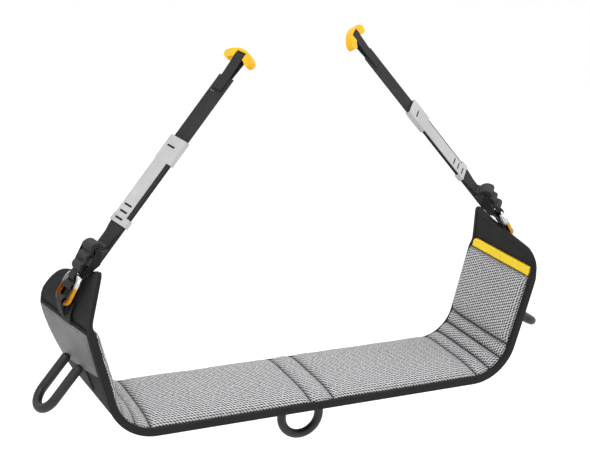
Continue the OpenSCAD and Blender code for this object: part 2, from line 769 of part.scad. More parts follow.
module strap_tail(side) {
  color(black) at_upper(side) webbing(tail_x, keeper_low, keeper_low + tail_len, strap_w, web_t);
}

module keeper(side) {
  in_low = strap_x - web_t / 2 - keeper_play;
  in_high = tail_x + web_t / 2 + keeper_play;
  in_w = strap_w + 2 * keeper_play;
  out_w = in_w + 2 * keeper_t;
  out_h = in_high - in_low + 2 * keeper_t;
  plate_y = -in_w / 2;
  high = keeper_low + keeper_len;
  module cuff(low, length) {
    difference() {
      translate([in_low - keeper_t, -out_w / 2, low]) cube([out_h, out_w, length]);
      translate([in_low, -in_w / 2, low - cut]) cube([in_high - in_low, in_w, length + 2 * cut]);
    }
  }
  color(pale_grey) at_upper(side) difference() {
    union() {
      translate([in_high, plate_y, keeper_low]) cube([keeper_t, keeper_w, keeper_len]);
      cuff(keeper_low, lower_cuff);
      cuff(high - upper_cuff, upper_cuff);
    }
    for (z = [each [for (k = low_slots) keeper_low + k], high - top_slot])
      translate([in_high - end_gap, plate_y + (keeper_w - slot_len) / 2, z - slot_w / 2])
        cube([keeper_t + cut, slot_len, slot_w]);
  }
}

// Narrow webbing sewn on both faces of the strap and looped round the toggle's bar
module toggle_loop(side) {
  low = strap_top - toggle_lap;
  knee = strap_top + toggle_web_t;
  lap_r = web_t / 2 + end_gap;
  top_r = toggle_bar_d / 2 + turn_gap;
  top = [strap_x, strap_len];
  half = acos((lap_r - top_r) / (strap_len - knee));
  function outline_2d(extra, base) = concat(
    [[strap_x + lap_r + extra, base], [strap_x + lap_r + extra, knee]],
    arc(top, top_r + extra, 90 - half, 90 + half),
    [[strap_x - lap_r - extra, knee], [strap_x - lap_r - extra, base]]);
  color(black) at_upper(side) across_strap(toggle_web_w) difference() {
    polygon(outline_2d(toggle_web_t, low));
    polygon(outline_2d(0, low - cut));
  }
}

// Curved grip with a slot, through which the webbing runs round the bar
module toggle(side) {
  bar_reach = toggle_web_w / 2 + turn_gap;
  loop_r = toggle_bar_d / 2 + 2 * turn_gap + toggle_web_t;
  back_h = toggle_h - toggle_bar_d / 2;
  mid_r = toggle_r - toggle_h / 2;
  centre = [0, back_h - toggle_r];
  color(yellow) at_upper(side) translate([strap_x, 0, strap_len]) {
    difference() {
      rotate([90, 0, 90]) linear_extrude(toggle_t, center = true) {
        intersection() {
          translate(centre) difference() {
            circle(toggle_r, $fn = 120);
            circle(toggle_r - toggle_h, $fn = 120);
          }
          translate(centre) polygon([
            [0, 0], 2 * toggle_r * [-sin(toggle_half_angle), cos(toggle_half_angle)],
            2 * toggle_r * [0, 1], 2 * toggle_r * [sin(toggle_half_angle), cos(toggle_half_angle)]]);
        }
        for (end = [-1, 1])
          translate(centre + mid_r * [end * sin(toggle_half_angle), cos(toggle_half_angle)])
            circle(toggle_h / 2);
      }
      translate([-toggle_t, -bar_reach, -toggle_r]) cube([2 * toggle_t, 2 * bar_reach, toggle_r + loop_r]);
    }
    rotate([90, 0, 0]) cylinder(h = 2 * (bar_reach + cut), r = toggle_bar_d / 2, center = true);
  }
}

// Equipment loops
function loop_root(side) = at(side * (s_wing + loop_s), 0, tab_out - turn_gap - tube_r);
// Turn of the wing's outside away from the seat's depth, at a loop's root
function loop_yaw(side) =
  let (d = shell(side * (s_wing + loop_s), probe) - shell(side * (s_wing + loop_s), -probe))
  atan2(-d[0], d[1]);
function centre_root() = at(0, -loop_front, tab_out - turn_gap - tube_r);
tab_half = loop_w / 2 + tube_r;
centre_tab_half = centre_loop_w / 2 + tube_r;

// Sewn strip that holds a loop's root, below the patch
module loop_tab(side) {
  t_list = steps(-tab_half, tab_half, 4);
  low = s_wing + patch_low - tab_deep;
  rows = 3;
  function row_s(j, t) = side * (low + (patch_edge(t) - layer_gap - low) * j / rows);
  order = side > 0 ? [0 : rows] : [rows : -1 : 0];
  color(black) grid_solid(
    [for (j = order) [for (t = t_list) at(row_s(j, t), t, patch_in)]],
    [for (j = order) [for (t = t_list) at(row_s(j, t), t, tab_out)]]);
}

module loop_tab_centre() {
  t_list = steps(-loop_front - tab_deep, -loop_front + tab_deep, 2);
  color(black) layer(steps(-centre_tab_half, centre_tab_half, 2), t_list, patch_in, tab_out);
}

module gear_tube(width, reach) {
  bend = width / 2;
  leg = reach - bend - tube_r;
  color(black) {
    for (end = [-1, 1]) translate([0, end * bend, 0]) {
      sphere(tube_r);
      cylinder(h = leg, r = tube_r);
    }
    translate([0, 0, leg]) rotate([90, 0, 90])
      rotate_extrude(angle = 180) translate([bend, 0]) circle(tube_r);
  }
}

module gear_loop(side) {
  translate(loop_root(side)) rotate([0, 0, loop_yaw(side)]) rotate([0, side * (90 + loop_droop(side)), 0])
    gear_tube(loop_w, loop_reach);
}

module gear_loop_centre() {
  translate(centre_root()) rotate([0, 0, 90]) rotate([0, 180, 0]) gear_tube(centre_loop_w, centre_loop_reach);
}

// Axes of the joints, for whoever poses the seat
for (side = [-1, 1]) {
  along = inward(side, strap_lean(side));
  out = cross(across(side), along);
  q = strap_twist(side);
  upper_across = across(side) * cos(q) - out * sin(q);
  on_axis = ring_top(side) + twist_x * out + (strap_x - twist_x) * (out * cos(q) + across(side) * sin(q));
  yaw = loop_yaw(side);
  echo(side = side, ring_axis = ring_seat(side), strap_axis = ring_top(side));
  echo(side = side, across = across(side), along = along);
  echo(side = side, toggle_axis = on_axis + strap_len * along, toggle_across = upper_across);
  echo(side = side, loop_axis = loop_root(side), loop_across = [-sin(yaw), cos(yaw), 0]);
}
echo(centre_loop_axis = centre_root());

frame_board();
outer_cover();
edge_binding();
seat_pad(-1);  // seat_pad_left
seat_pad(1);  // seat_pad_right
centre_roll();
bend_rolls(-1);  // bend_rolls_left
bend_rolls(1);  // bend_rolls_right
side_pad(-1);  // side_pad_left
side_pad(1);  // side_pad_right
band(-1);  // band_left
band(1);  // band_right
flap(-1);  // flap_left
flap(1);  // flap_right
patch(-1);  // patch_left
patch(1);  // patch_right
anchor_tab(-1);  // anchor_tab_left
anchor_tab(1);  // anchor_tab_right
anchor_loop(-1);  // anchor_loop_left
anchor_loop(1);  // anchor_loop_right
loop_tab(-1);  // loop_tab_left
loop_tab(1);  // loop_tab_right
loop_tab_centre();
ring(-1);  // ring_left
ring(1);  // ring_right
link(-1);  // link_left
link(1);  // link_right
buckle(-1);  // buckle_left
buckle(1);  // buckle_right
strap_lower(-1);  // strap_lower_left
strap_lower(1);  // strap_lower_right
strap(-1);  // strap_left
strap(1);  // strap_right
strap_tail(-1);  // strap_tail_left
strap_tail(1);  // strap_tail_right
keeper(-1);  // keeper_left
keeper(1);  // keeper_right
toggle_loop(-1);  // toggle_loop_left
toggle_loop(1);  // toggle_loop_right
toggle(-1);  // toggle_left
toggle(1);  // toggle_right
gear_loop(-1);  // gear_loop_left
gear_loop(1);  // gear_loop_right
gear_loop_centre();
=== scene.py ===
import math

import bmesh
import bpy
import numpy as np
from mathutils import Matrix, Vector


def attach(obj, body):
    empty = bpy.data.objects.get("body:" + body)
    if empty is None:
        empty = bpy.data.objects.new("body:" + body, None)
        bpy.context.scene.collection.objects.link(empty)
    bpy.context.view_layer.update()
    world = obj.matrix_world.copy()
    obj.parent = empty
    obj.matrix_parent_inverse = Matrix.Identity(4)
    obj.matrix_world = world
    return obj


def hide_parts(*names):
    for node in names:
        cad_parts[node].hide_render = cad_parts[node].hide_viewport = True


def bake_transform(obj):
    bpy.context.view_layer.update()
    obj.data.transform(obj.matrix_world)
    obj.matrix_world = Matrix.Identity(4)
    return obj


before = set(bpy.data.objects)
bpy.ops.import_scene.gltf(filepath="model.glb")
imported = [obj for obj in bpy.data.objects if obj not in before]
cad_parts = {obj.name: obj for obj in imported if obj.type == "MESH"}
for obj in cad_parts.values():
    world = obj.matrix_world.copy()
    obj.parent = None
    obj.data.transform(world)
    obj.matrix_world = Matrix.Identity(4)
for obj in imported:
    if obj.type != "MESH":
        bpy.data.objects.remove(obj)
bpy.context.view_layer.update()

MM = 0.001

# Sizes of the padded shell in millimetres, the same as in the part's source
FLAT_LEN = 427.0
SEAT_DEPTH = 145.0
BEND_R = 50.0
BEND_ANGLE = math.radians(77.0)
SIDE_LEN = 93.0
WING_RISE = 3.0
KINK_LEN = 12.0
PRESS_W = 42.0
TAPER_LEN = 60.0
BINDING_W = 6.5
BAND_W = 12.5
CENTRE_W = 30.4
ROLL_W = 20.0
ROLL_COUNT = 3
SEAM = 0.7
BEND_LEN = BEND_R * BEND_ANGLE
HALF = SEAT_DEPTH / 2
INNER = HALF - BINDING_W - 0.2

# Distances along the shell at which the bend, wing, band and flap start
S_BEND = FLAT_LEN / 2
S_WING = S_BEND + BEND_LEN
S_BAND = S_WING + SIDE_LEN
S_FLAP = S_BAND + WING_RISE

# Heights of the layers over the padded face
COVER_TOP = -6.6
COVER_OUT = -8.4
PATCH_IN = -8.6
PATCH_OUT = -10.2
TAB_OUT = -10.6
FLAP_TOP = -2.4
FLAP_OUT = -5.9

# Patches on the outside of the wings, and the strips that hold the tube loops
PATCH_LOW = 13.0
PATCH_HIGH = 92.0
PATCH_SLANT = 27.0
PATCH_INSET = 7.2
LAYER_GAP = 0.2
TUBE_R = 5.75
TAB_DEEP = 9.0
TAB_HALF = 19 + TUBE_R
CENTRE_TAB_HALF = 26 + TUBE_R
CENTRE_TAB_T = -5.0

# Webbing, rings, buckles and straps
WEB_T = 2.0
STRAP_W = 25.0
ANCHOR_W = 13.0
ANCHOR_LEN = 15.0
ROD_R = 4.0
RING_HALF_W = 14.0
RING_RISE = 31.0
RING_BEND = 7.0
BAR_R = 2.2
BAR_1 = np.array([1.44, 14.0])
BAR_2 = np.array([-3.2, 25.0])
BAR_3 = np.array([7.2, 36.0])
SEW_GAP = 0.4
TURN_GAP = 0.3
FOLD_GAP = 0.1
STRAP_X = -6.5
TAIL_X = -4.2
TWIST_X = -5.35
TWIST_LOW = 3.0
TWIST_HIGH = 12.9
FOLD_H = 48.0
JOIN_H = 74.9
STRAP_LEN = 314.0
STRAP_TOP = 285.0
KEEPER_LOW = 75.0
TAIL_LEN = 112.0
TOGGLE_WEB_W = 15.0
TOGGLE_WEB_T = 1.6
TOGGLE_LAP = 19.0
TOGGLE_BAR_R = 2.6
TOGGLE_LOW = STRAP_TOP - TOGGLE_LAP
LAP_X = WEB_T / 2 + FOLD_GAP + TOGGLE_WEB_T / 2

# What differs between the two sides
SIDES = {
    -1: dict(word="left", front_h=69.0, rear_h=37.0, front_r=9.0, rear_r=38.0, lean_front=99.0,
             lean_rear=115.0, press=15.5, splay=4.0, twist=23.5, taper=21.0, anchor_t=-12.0,
             anchor_rise=17.0, heading=189.0, ring_lean=31.0, strap_lean=40.8, strap_twist=13.0,
             tongue=0.55, band_inset=6.0, short_thread="thread_pale"),
    1: dict(word="right", front_h=30.5, rear_h=53.5, front_r=18.5, rear_r=9.0, lean_front=102.5,
            lean_rear=88.5, press=3.0, splay=3.5, twist=-4.0, taper=0.0, anchor_t=15.0,
            anchor_rise=31.0, heading=-11.2, ring_lean=31.0, strap_lean=40.9, strap_twist=-38.0,
            tongue=1.0, band_inset=1.2, short_thread="thread_dark"),
}

# Looks of the sewn pieces
PAD_ROUND = 15.0
SEAM_RISE = 3.5
FLAP_TUCK = 1.2
HEM_IN = BINDING_W + 5.5
THREAD_R = 0.25
NEAR_EDGE = np.array([0, 0.015, 0.05, 0.1, 0.17, 0.26, 0.37, 0.5, 0.64, 0.8])


# Shape of the shell: s runs along it, t across its depth, h out of the padded face
def ramp(x):
    c = np.clip(x, 0, 1)
    return c * c * (3 - 2 * c)


def pick(s, key):
    return np.where(s < 0, SIDES[-1][key], SIDES[1][key])


def rear_share(t):
    return t / SEAT_DEPTH + 0.5


def shell(s, t):
    s, t = np.broadcast_arrays(np.asarray(s, float), np.asarray(t, float))
    d = np.abs(s)
    r = rear_share(t)
    lean = pick(s, "lean_front") * (1 - r) + pick(s, "lean_rear") * r
    lean = np.radians(lean + pick(s, "press") * np.exp(-(((t - pick(s, "anchor_t")) / PRESS_W) ** 2)))
    bent = np.clip(d - S_BEND, 0, BEND_LEN) / BEND_R
    wing = np.clip(d - S_WING, 0, S_FLAP - S_WING)
    kink = np.clip(d - S_FLAP, 0, KINK_LEN)
    turn = (lean - BEND_ANGLE) * kink / KINK_LEN
    turn = np.where(np.abs(turn) < 1e-7, 1e-7, turn)
    end = BEND_ANGLE + turn
    rest = np.maximum(d - S_FLAP - KINK_LEN, 0)
    x = np.minimum(d, S_BEND) + BEND_R * np.sin(bent) + wing * math.cos(BEND_ANGLE)
    x = x + kink / turn * (np.sin(end) - math.sin(BEND_ANGLE)) + rest * np.cos(end)
    z = BEND_R * (1 - np.cos(bent)) + wing * math.sin(BEND_ANGLE)
    z = z + kink / turn * (math.cos(BEND_ANGLE) - np.cos(end)) + rest * np.sin(end)
    splay = pick(s, "splay") + pick(s, "twist") * r
    x = x + splay * ramp((d - S_BEND) / (S_FLAP - S_BEND))
    taper = pick(s, "taper") * ramp((d - S_FLAP + TAPER_LEN) / (TAPER_LEN + KINK_LEN))
    return np.stack([np.where(s < 0, -x, x), t - taper * r, z], -1)


def unit(v):
    return v / np.linalg.norm(v, axis=-1, keepdims=True)


def normal(s, t):
    e = 0.05
    return unit(np.cross(shell(s + e, t) - shell(s - e, t), shell(s, t + e) - shell(s, t - e)))


def at(s, t, h):
    s, t, h = np.broadcast_arrays(np.asarray(s, float), np.asarray(t, float), np.asarray(h, float))
    return shell(s, t) + h[..., None] * normal(s, t)


def span(side, a, b):
    return (a, b) if side > 0 else (-b, -a)


def round_off(d, f, power=0.5):
    """Rise from 0 to 1 over a distance f from an edge, as a rounded edge does."""
    return np.clip(1 - np.clip(1 - d / f, 0, 1) ** 2, 0, 1) ** power


def spread(a, b, step):
    return np.linspace(a, b, max(2, int(round(abs(b - a) / step)) + 1))


def waves(x, y, seed, length):
    """Smooth uneven field between about -1 and 1."""
    random = np.random.default_rng(seed)
    total = 0
    for _ in range(6):
        angle, phase = random.uniform(0, 2 * math.pi, 2)
        pace = 2 * math.pi / (length * random.uniform(0.7, 1.6))
        total = total + np.sin(pace * (x * math.cos(angle) + y * math.sin(angle)) + phase)
    return total / 3.2


# Meshes: a shape is its points, its faces and a pair of coordinates for each point
def grid_faces(n, m, base=0, flip=False):
    i, j = np.meshgrid(np.arange(n - 1), np.arange(m - 1), indexing="ij")
    a = base + i * m + j
    quads = np.stack([a, a + 1, a + m + 1, a + m], -1).reshape(-1, 4)
    return quads[:, ::-1] if flip else quads


def slab(top, low, uv):
    """Closed solid between two grids of points."""
    n, m = top.shape[:2]
    verts = np.concatenate([top.reshape(-1, 3), low.reshape(-1, 3)])
    ring = [(0, j) for j in range(m)] + [(i, m - 1) for i in range(1, n)]
    ring += [(n - 1, j) for j in range(m - 2, -1, -1)] + [(i, 0) for i in range(n - 2, 0, -1)]
    a = [i * m + j for i, j in ring]
    b = a[1:] + a[:1]
    rim = [(p, q, q + n * m, p + n * m) for p, q in zip(a, b)]
    faces = [*grid_faces(n, m), *grid_faces(n, m, n * m, True), *rim]
    return verts, faces, np.concatenate([uv.reshape(-1, 2)] * 2)


def sweep(points, closed=False):
    """Tube from a list of section loops, shape (stations, section, 3)."""
    n, m = points.shape[:2]
    faces = []
    for i in range(n if closed else n - 1):
        here = i * m
        there = ((i + 1) % n) * m
        for j in range(m):
            k = (j + 1) % m
            faces.append((here + j, here + k, there + k, there + j))
    if not closed:
        faces.append(tuple(range(m))[::-1])
        faces.append(tuple((n - 1) * m + j for j in range(m)))
    return points.reshape(-1, 3), faces


def join(shapes):
    verts, faces, uvs, base = [], [], [], 0
    for v, f, u in shapes:
        verts.append(v)
        uvs.append(u)
        faces += [tuple(int(k) + base for k in q) for q in f]
        base += len(v)
    return np.concatenate(verts), faces, np.concatenate(uvs)


def along(path):
    step = np.linalg.norm(np.diff(path, axis=0), axis=1)
    return np.concatenate([[0], np.cumsum(step)])


def running(points, axis):
    """Distance along one direction of a grid of points, from its first row or column."""
    gaps = np.linalg.norm(np.diff(points, axis=axis), axis=-1)
    start = np.zeros_like(np.take(gaps, [0], axis))
    return np.concatenate([start, np.cumsum(gaps, axis)], axis)


def headings(path, closed):
    if closed:
        return unit(np.roll(path, -1, 0) - np.roll(path, 1, 0))
    return unit(np.gradient(path, axis=0))


def repeated(vector, count):
    return np.repeat(vector[None], count, 0)


def web_section(width, thick):
    """Flat section with round edges, as [across, out of the face]."""
    r = thick / 2
    flat = width / 2 - r
    a = np.radians(np.linspace(-90, 90, 7))
    right = np.stack([flat + r * np.cos(a), r * np.sin(a)], -1)
    top = np.stack([np.linspace(flat, -flat, 11)[1:-1], np.full(9, r)], -1)
    return np.concatenate([right, top, -right, -top])


def ribbon(centre, across, out, width, thick, closed=False):
    section = web_section(width, thick)
    points = centre[:, None] + across[:, None] * section[None, :, :1] + out[:, None] * section[None, :, 1:]
    verts, faces = sweep(points, closed)
    v = np.repeat(along(centre)[:, None], len(section), 1)
    u = np.repeat(section[None, :, 0], len(centre), 0)
    return verts, faces, np.stack([u, v], -1).reshape(-1, 2)


def flat_ribbon(path, ex, ey, ez, origin, width, thick, closed=False):
    """Ribbon whose middle line lies in the plane of ex and ez."""
    d = headings(path, closed)
    centre = origin + path[:, :1] * ex + path[:, 1:] * ez
    out = -d[:, 1:] * ex + d[:, :1] * ez
    return ribbon(centre, repeated(ey, len(centre)), out, width, thick, closed)


def offsets(path, d, section):
    """Ribbon's section at each point of a flat path, as x, y and z arrays."""
    x = path[:, None, 0] - d[:, None, 1] * section[None, :, 1]
    z = path[:, None, 1] + d[:, None, 0] * section[None, :, 1]
    return x, np.repeat(section[None, :, 0], len(path), 0), z


def upright(x, heights):
    """Straight flat path at one x."""
    return np.stack([np.full(len(heights), x), heights], -1)


def between(a, b, count):
    """Points between two ends, without the ends."""
    return a + (b - a) * np.linspace(0, 1, count)[1:-1, None]


def smooth_line(knots, n):
    """Even curve through a few points."""
    p = np.concatenate([[2 * knots[0] - knots[1]], knots, [2 * knots[-1] - knots[-2]]])
    k = np.linspace(0, 1, n, endpoint=False)[:, None]
    out = []
    for a, b, c, d in zip(p, p[1:], p[2:], p[3:]):
        square = (2 * a - 5 * b + 4 * c - d) * k ** 2
        cube = (3 * b - a - 3 * c + d) * k ** 3
        out.append(0.5 * (2 * b + (c - a) * k + square + cube))
    return np.concatenate([*out, knots[-1:]])


def arc(c, r, a, b, n):
    q = np.radians(np.linspace(a, b, n))
    return np.asarray(c) + r * np.stack([np.cos(q), np.sin(q)], -1)


def wrap(p, p_r, q, q_r):
    """Closed path round two circles, as a belt runs."""
    d = np.asarray(q, float) - np.asarray(p, float)
    lean = math.degrees(math.atan2(d[1], d[0]))
    open_angle = math.degrees(math.acos((p_r - q_r) / np.linalg.norm(d)))
    far = arc(q, q_r, lean - open_angle, lean + open_angle, 20)
    near = arc(p, p_r, lean + open_angle, lean + 360 - open_angle, 24)
    return np.concatenate([far, between(far[-1], near[0], 7), near, between(near[-1], far[0], 7)])


def point_at(x, run, points):
    return np.array([np.interp(x, run, points[:, i]) for i in range(3)])


def stitches(path, out, radius=THREAD_R, lift=0.1):
    """Row of short thread beads along a path that lies on a surface with the given outward directions."""
    length = 2.4
    gap = 0.9
    bead = ((0, 0.35), (0.18, 0.85), (0.5, 1), (0.82, 0.85), (1, 0.35))
    angle = np.radians(np.arange(0, 360, 60))
    run = along(path)
    shapes = []
    for k in range(int(run[-1] / (length + gap))):
        a = k * (length + gap) + gap / 2
        p = point_at(a, run, path)
        q = point_at(a + length, run, path)
        n = unit(point_at(a + length / 2, run, out))
        side = np.cross(n, unit(q - p))
        loops = []
        for share, size in bead:
            c = p + (q - p) * share + n * lift * size
            round_it = np.cos(angle)[:, None] * side + 0.8 * np.sin(angle)[:, None] * n
            loops.append(c + radius * size * round_it)
        v, f = sweep(np.array(loops))
        shapes.append((v, f, np.zeros((len(v), 2))))
    return join(shapes)


def sewn_row(side, s, t, h, facing=-1, **thread):
    """Row of stitches on the shell, on its padded face (1) or its outside (-1)."""
    return stitches(at(side * s, t, h), facing * normal(side * s, t), **thread)


# Materials
class Nodes:
    """A short way to add nodes to a material or the world."""

    def __init__(self, owner):
        owner.use_nodes = True
        self.tree = owner.node_tree

    def set(self, node, values):
        for key, value in values.items():
            socket = node.inputs[key]
            if isinstance(value, bpy.types.NodeSocket):
                self.tree.links.new(value, socket)
            else:
                socket.default_value = value

    def add(self, kind, values=None, out=0, **props):
        node = self.tree.nodes.new(kind)
        for key, value in props.items():
            setattr(node, key, value)
        self.set(node, values or {})
        return node.outputs[out]

    def math(self, op, a, b=0.0, c=0.0):
        return self.add("ShaderNodeMath", {0: a, 1: b, 2: c}, operation=op)

    def level(self, value, low, high, a=0.0, b=1.0):
        values = {"Value": value, "From Min": low, "From Max": high, "To Min": a, "To Max": b}
        return self.add("ShaderNodeMapRange", values, interpolation_type="SMOOTHSTEP")


class Paint(Nodes):
    """A Principled material."""

    def __init__(self, name, rough, metallic=0.0, coat=0.0, specular=0.5):
        self.mat = bpy.data.materials.new(name)
        super().__init__(self.mat)
        self.shader = self.tree.nodes["Principled BSDF"]
        self.set(self.shader, {"Roughness": rough, "Metallic": metallic, "Coat Weight": coat,
                               "Specular IOR Level": specular})

    def split_uv(self):
        """The two coordinates that each mesh keeps, in millimetres."""
        uv = self.add("ShaderNodeTexCoord", out=2)
        node = self.tree.nodes.new("ShaderNodeSeparateXYZ")
        self.tree.links.new(uv, node.inputs[0])
        return node.outputs[0], node.outputs[1]

    def noise(self, scale, detail=3.0, rough=0.55):
        where = self.add("ShaderNodeTexCoord", out=3)
        values = {"Vector": where, "Scale": scale, "Detail": detail, "Roughness": rough}
        return self.add("ShaderNodeTexNoise", values)

    def wave(self, value, pitch):
        return self.math("SINE", self.math("MULTIPLY", value, 2 * math.pi / pitch))

    def mix(self, share, a, b):
        colours = [value if isinstance(value, bpy.types.NodeSocket) else (*value, 1.0) for value in (a, b)]
        return self.add("ShaderNodeMix", {0: share, 6: colours[0], 7: colours[1]}, out=2, data_type="RGBA")

    def bump(self, height, strength, distance):
        return self.add("ShaderNodeBump", {"Height": height, "Strength": strength, "Distance": distance})

    def finish(self, colour, bumped=None, rough=None):
        self.set(self.shader, {"Base Color": colour})
        if bumped is not None:
            self.set(self.shader, {"Normal": bumped})
        if rough is not None:
            self.set(self.shader, {"Roughness": rough})
        return self.mat


def grey(v, tint=0.0):
    return (v, v, v * (1 + tint))


def mesh_cloth():
    """Grey spacer mesh: dark holes in slanting rows, darkened by painted shade along the seams and the pad
    edges.
    """
    p = Paint("pad_mesh", 0.85, specular=0.2)
    x, y = p.split_uv()
    u = p.math("ADD", p.math("DIVIDE", x, 4.1), p.math("DIVIDE", y, 8.0))
    v = p.math("DIVIDE", y, 3.7)
    where = p.add("ShaderNodeCombineXYZ", {"X": u, "Y": v})
    cell = p.add("ShaderNodeTexVoronoi", {"Vector": where, "Scale": 1.0, "Randomness": 0.12},
                 voronoi_dimensions="2D", distance="MANHATTAN")
    hole = p.level(cell, 0.40, 0.54)
    fine = p.noise(900.0, 2.0)
    broad = p.noise(18.0, 2.0)
    thread = p.mix(broad, grey(0.46, 0.02), grey(0.56, 0.02))
    thread = p.mix(p.level(fine, 0.35, 0.7), thread, grey(0.62, 0.02))
    colour = p.mix(hole, grey(0.035, 0.05), thread)
    # Painted shade: a per-point share darkens the mesh to near black in the seam valleys and along the pad
    # edges.
    painted_shade = p.add("ShaderNodeAttribute", out=2, attribute_name="painted_shade")
    colour = p.mix(painted_shade, colour, grey(0.03, 0.05))
    height = p.math("ADD", hole, p.math("MULTIPLY", fine, 0.35))
    return p.finish(colour, p.bump(height, 0.75, 0.0007))


def cloth(name, dark, pale, pitch=0.9, rough=0.8, strength=0.35, cloud=22.0):
    """Plain woven cloth: crossing threads, a slightly uneven dye and light wear."""
    p = Paint(name, rough, specular=0.15)
    x, y = p.split_uv()
    weave = p.math("MULTIPLY", p.wave(x, pitch), p.wave(y, pitch))
    broad = p.noise(cloud, 4.0)
    fine = p.noise(700.0, 2.0)
    colour = p.mix(p.level(broad, 0.3, 0.7), dark, pale)
    colour = p.mix(p.level(weave, -1.0, 1.0, 0.0, 0.25), colour, tuple(v * 0.5 for v in dark))
    height = p.math("ADD", p.math("MULTIPLY", weave, 0.5), fine)
    wear_and_highlight = p.level(broad, 0.3, 0.7, rough - 0.08, rough + 0.06)
    return p.finish(colour, p.bump(height, strength, 0.0003), wear_and_highlight)


def web_cloth(name, dark, pale, pitch, strength=0.8):
    """Webbing: slanting ribs in a zigzag, crossed by cords along its length."""
    cord_w = 2.2
    p = Paint(name, 0.7, specular=0.2)
    x, y = p.split_uv()
    zigzag = p.math("PINGPONG", p.math("ADD", x, 100.0), cord_w)
    rib = p.wave(p.math("ADD", y, zigzag), pitch)
    cord = p.wave(x, cord_w)
    broad = p.noise(30.0)
    fine = p.noise(800.0, 2.0)
    shade = p.math("ADD", p.math("MULTIPLY", p.level(rib, -1, 1), 0.6), p.math("MULTIPLY", fine, 0.5))
    colour = p.mix(p.level(shade, 0.1, 0.9), dark, pale)
    colour = p.mix(p.level(broad, 0.3, 0.75, 0.0, 0.2), colour, tuple(v * 1.5 for v in pale))
    height = p.math("ADD", p.math("ADD", rib, p.math("MULTIPLY", cord, 0.6)), fine)
    return p.finish(colour, p.bump(height, strength, 0.00025))


def plain(name, a, b, rough, scale=25.0, coat=0.0, strength=0.12, specular=0.5):
    """Moulded or coated surface with faint unevenness and small rubs."""
    p = Paint(name, rough, coat=coat, specular=specular)
    broad = p.noise(scale)
    grain = p.noise(350.0)
    colour = p.mix(p.level(broad, 0.3, 0.7), a, b)
    rubbed = p.level(p.noise(scale * 4, 4.0, 0.65), 0.62, 0.75, 0.0, 0.35)
    colour = p.mix(rubbed, colour, tuple(min(1.0, v * 1.25 + 0.01) for v in b))
    wear_and_highlight = p.level(broad, 0.25, 0.75, rough - 0.06, rough + 0.08)
    return p.finish(colour, p.bump(grain, strength, 0.0003), wear_and_highlight)


def two_toned(name, gold, silver, rough):
    """Metal ring, gilded below, with a painted highlight in silver-white above. Its mesh keeps the way round
    the rod and the height.
    """
    p = Paint(name, rough, metallic=1.0)
    turn, height = p.split_uv()
    broad = p.noise(60.0)
    grain = p.noise(400.0)
    # Painted highlight: above about 19 to 25 mm of height the ring turns silver-white, with a noisy border.
    wear_and_highlight = p.level(p.math("ADD", height, p.math("MULTIPLY", broad, 6.0)), 19.0, 25.0)
    # Painted light and shade: the camera-facing crest of the rod is lit gold; its rims and the lowest part of
    # the ring are painted dark brown shade.
    outside = p.math("COSINE", p.math("SUBTRACT", p.math("MULTIPLY", turn, 1 / ROD_R), 0.4))
    painted_lit_crest = p.math("MULTIPLY", p.level(outside, 0.55, 0.99), p.level(height, -2.0, 10.0, 0.15, 1.0))
    # The silver part also runs from painted shade on the rims to its lit crest.
    colour = p.mix(wear_and_highlight, p.mix(painted_lit_crest, *gold), p.mix(p.level(outside, 0.2, 0.98), *silver))
    polish = p.level(broad, 0.25, 0.75, rough - 0.05, rough + 0.08)
    return p.finish(colour, p.bump(grain, 0.1, 0.0002), polish)


# Each pair runs from painted shade on the rod's rims to the lit colour of its crest.
GOLD = ((0.13, 0.035, 0.002), (0.66, 0.31, 0.02))
SILVER = (grey(0.20, 0.02), grey(0.75, 0.02))
MATERIALS = {
    "pad_mesh": mesh_cloth(),
    "cover_cloth": cloth("cover_cloth", grey(0.016), grey(0.026)),
    "flap_cloth": cloth("flap_cloth", grey(0.016), grey(0.027)),
    "webbing": web_cloth("webbing", grey(0.003), grey(0.038), 2.6),
    "fold_webbing": web_cloth("fold_webbing", grey(0.008), grey(0.062), 2.2),
    "binding": web_cloth("binding", grey(0.006), grey(0.014), 1.1, strength=0.5),
    "band_cloth": cloth("band_cloth", (0.93, 0.65, 0.03), (1.0, 0.74, 0.045), pitch=0.8, rough=0.7,
                        strength=0.3),
    "patch_cloth": cloth("patch_cloth", grey(0.15, 0.02), grey(0.25, 0.02), pitch=0.7, rough=0.62,
                         strength=0.15, cloud=14.0),
    "ring_metal": two_toned("ring_metal", GOLD, SILVER, 0.16),
    "buckle_metal": plain("buckle_metal", grey(0.008), grey(0.016), 0.65, scale=60.0, specular=0.15),
    "keeper_vinyl": plain("keeper_vinyl", grey(0.40, 0.01), grey(0.46, 0.01), 0.42, scale=30.0, coat=0.05),
    "toggle_plastic": plain("toggle_plastic", (0.82, 0.39, 0.003), (0.92, 0.47, 0.006), 0.4, scale=40.0,
                            coat=0.05, specular=0.3),
    "loop_tube": plain("loop_tube", grey(0.013), grey(0.023), 0.45, scale=40.0, strength=0.2, specular=0.35),
    "board": plain("board", grey(0.010), grey(0.016), 0.7),
    # Near-black seam strip: the sewn seam's own colour, also serving as painted shade in the seam valleys.
    "seam": cloth("seam", grey(0.008), grey(0.014), pitch=0.8),
    "thread_dark": plain("thread_dark", grey(0.012), grey(0.03), 0.6, scale=200.0),
    "thread_pale": plain("thread_pale", grey(0.42), grey(0.55), 0.6, scale=200.0),
}


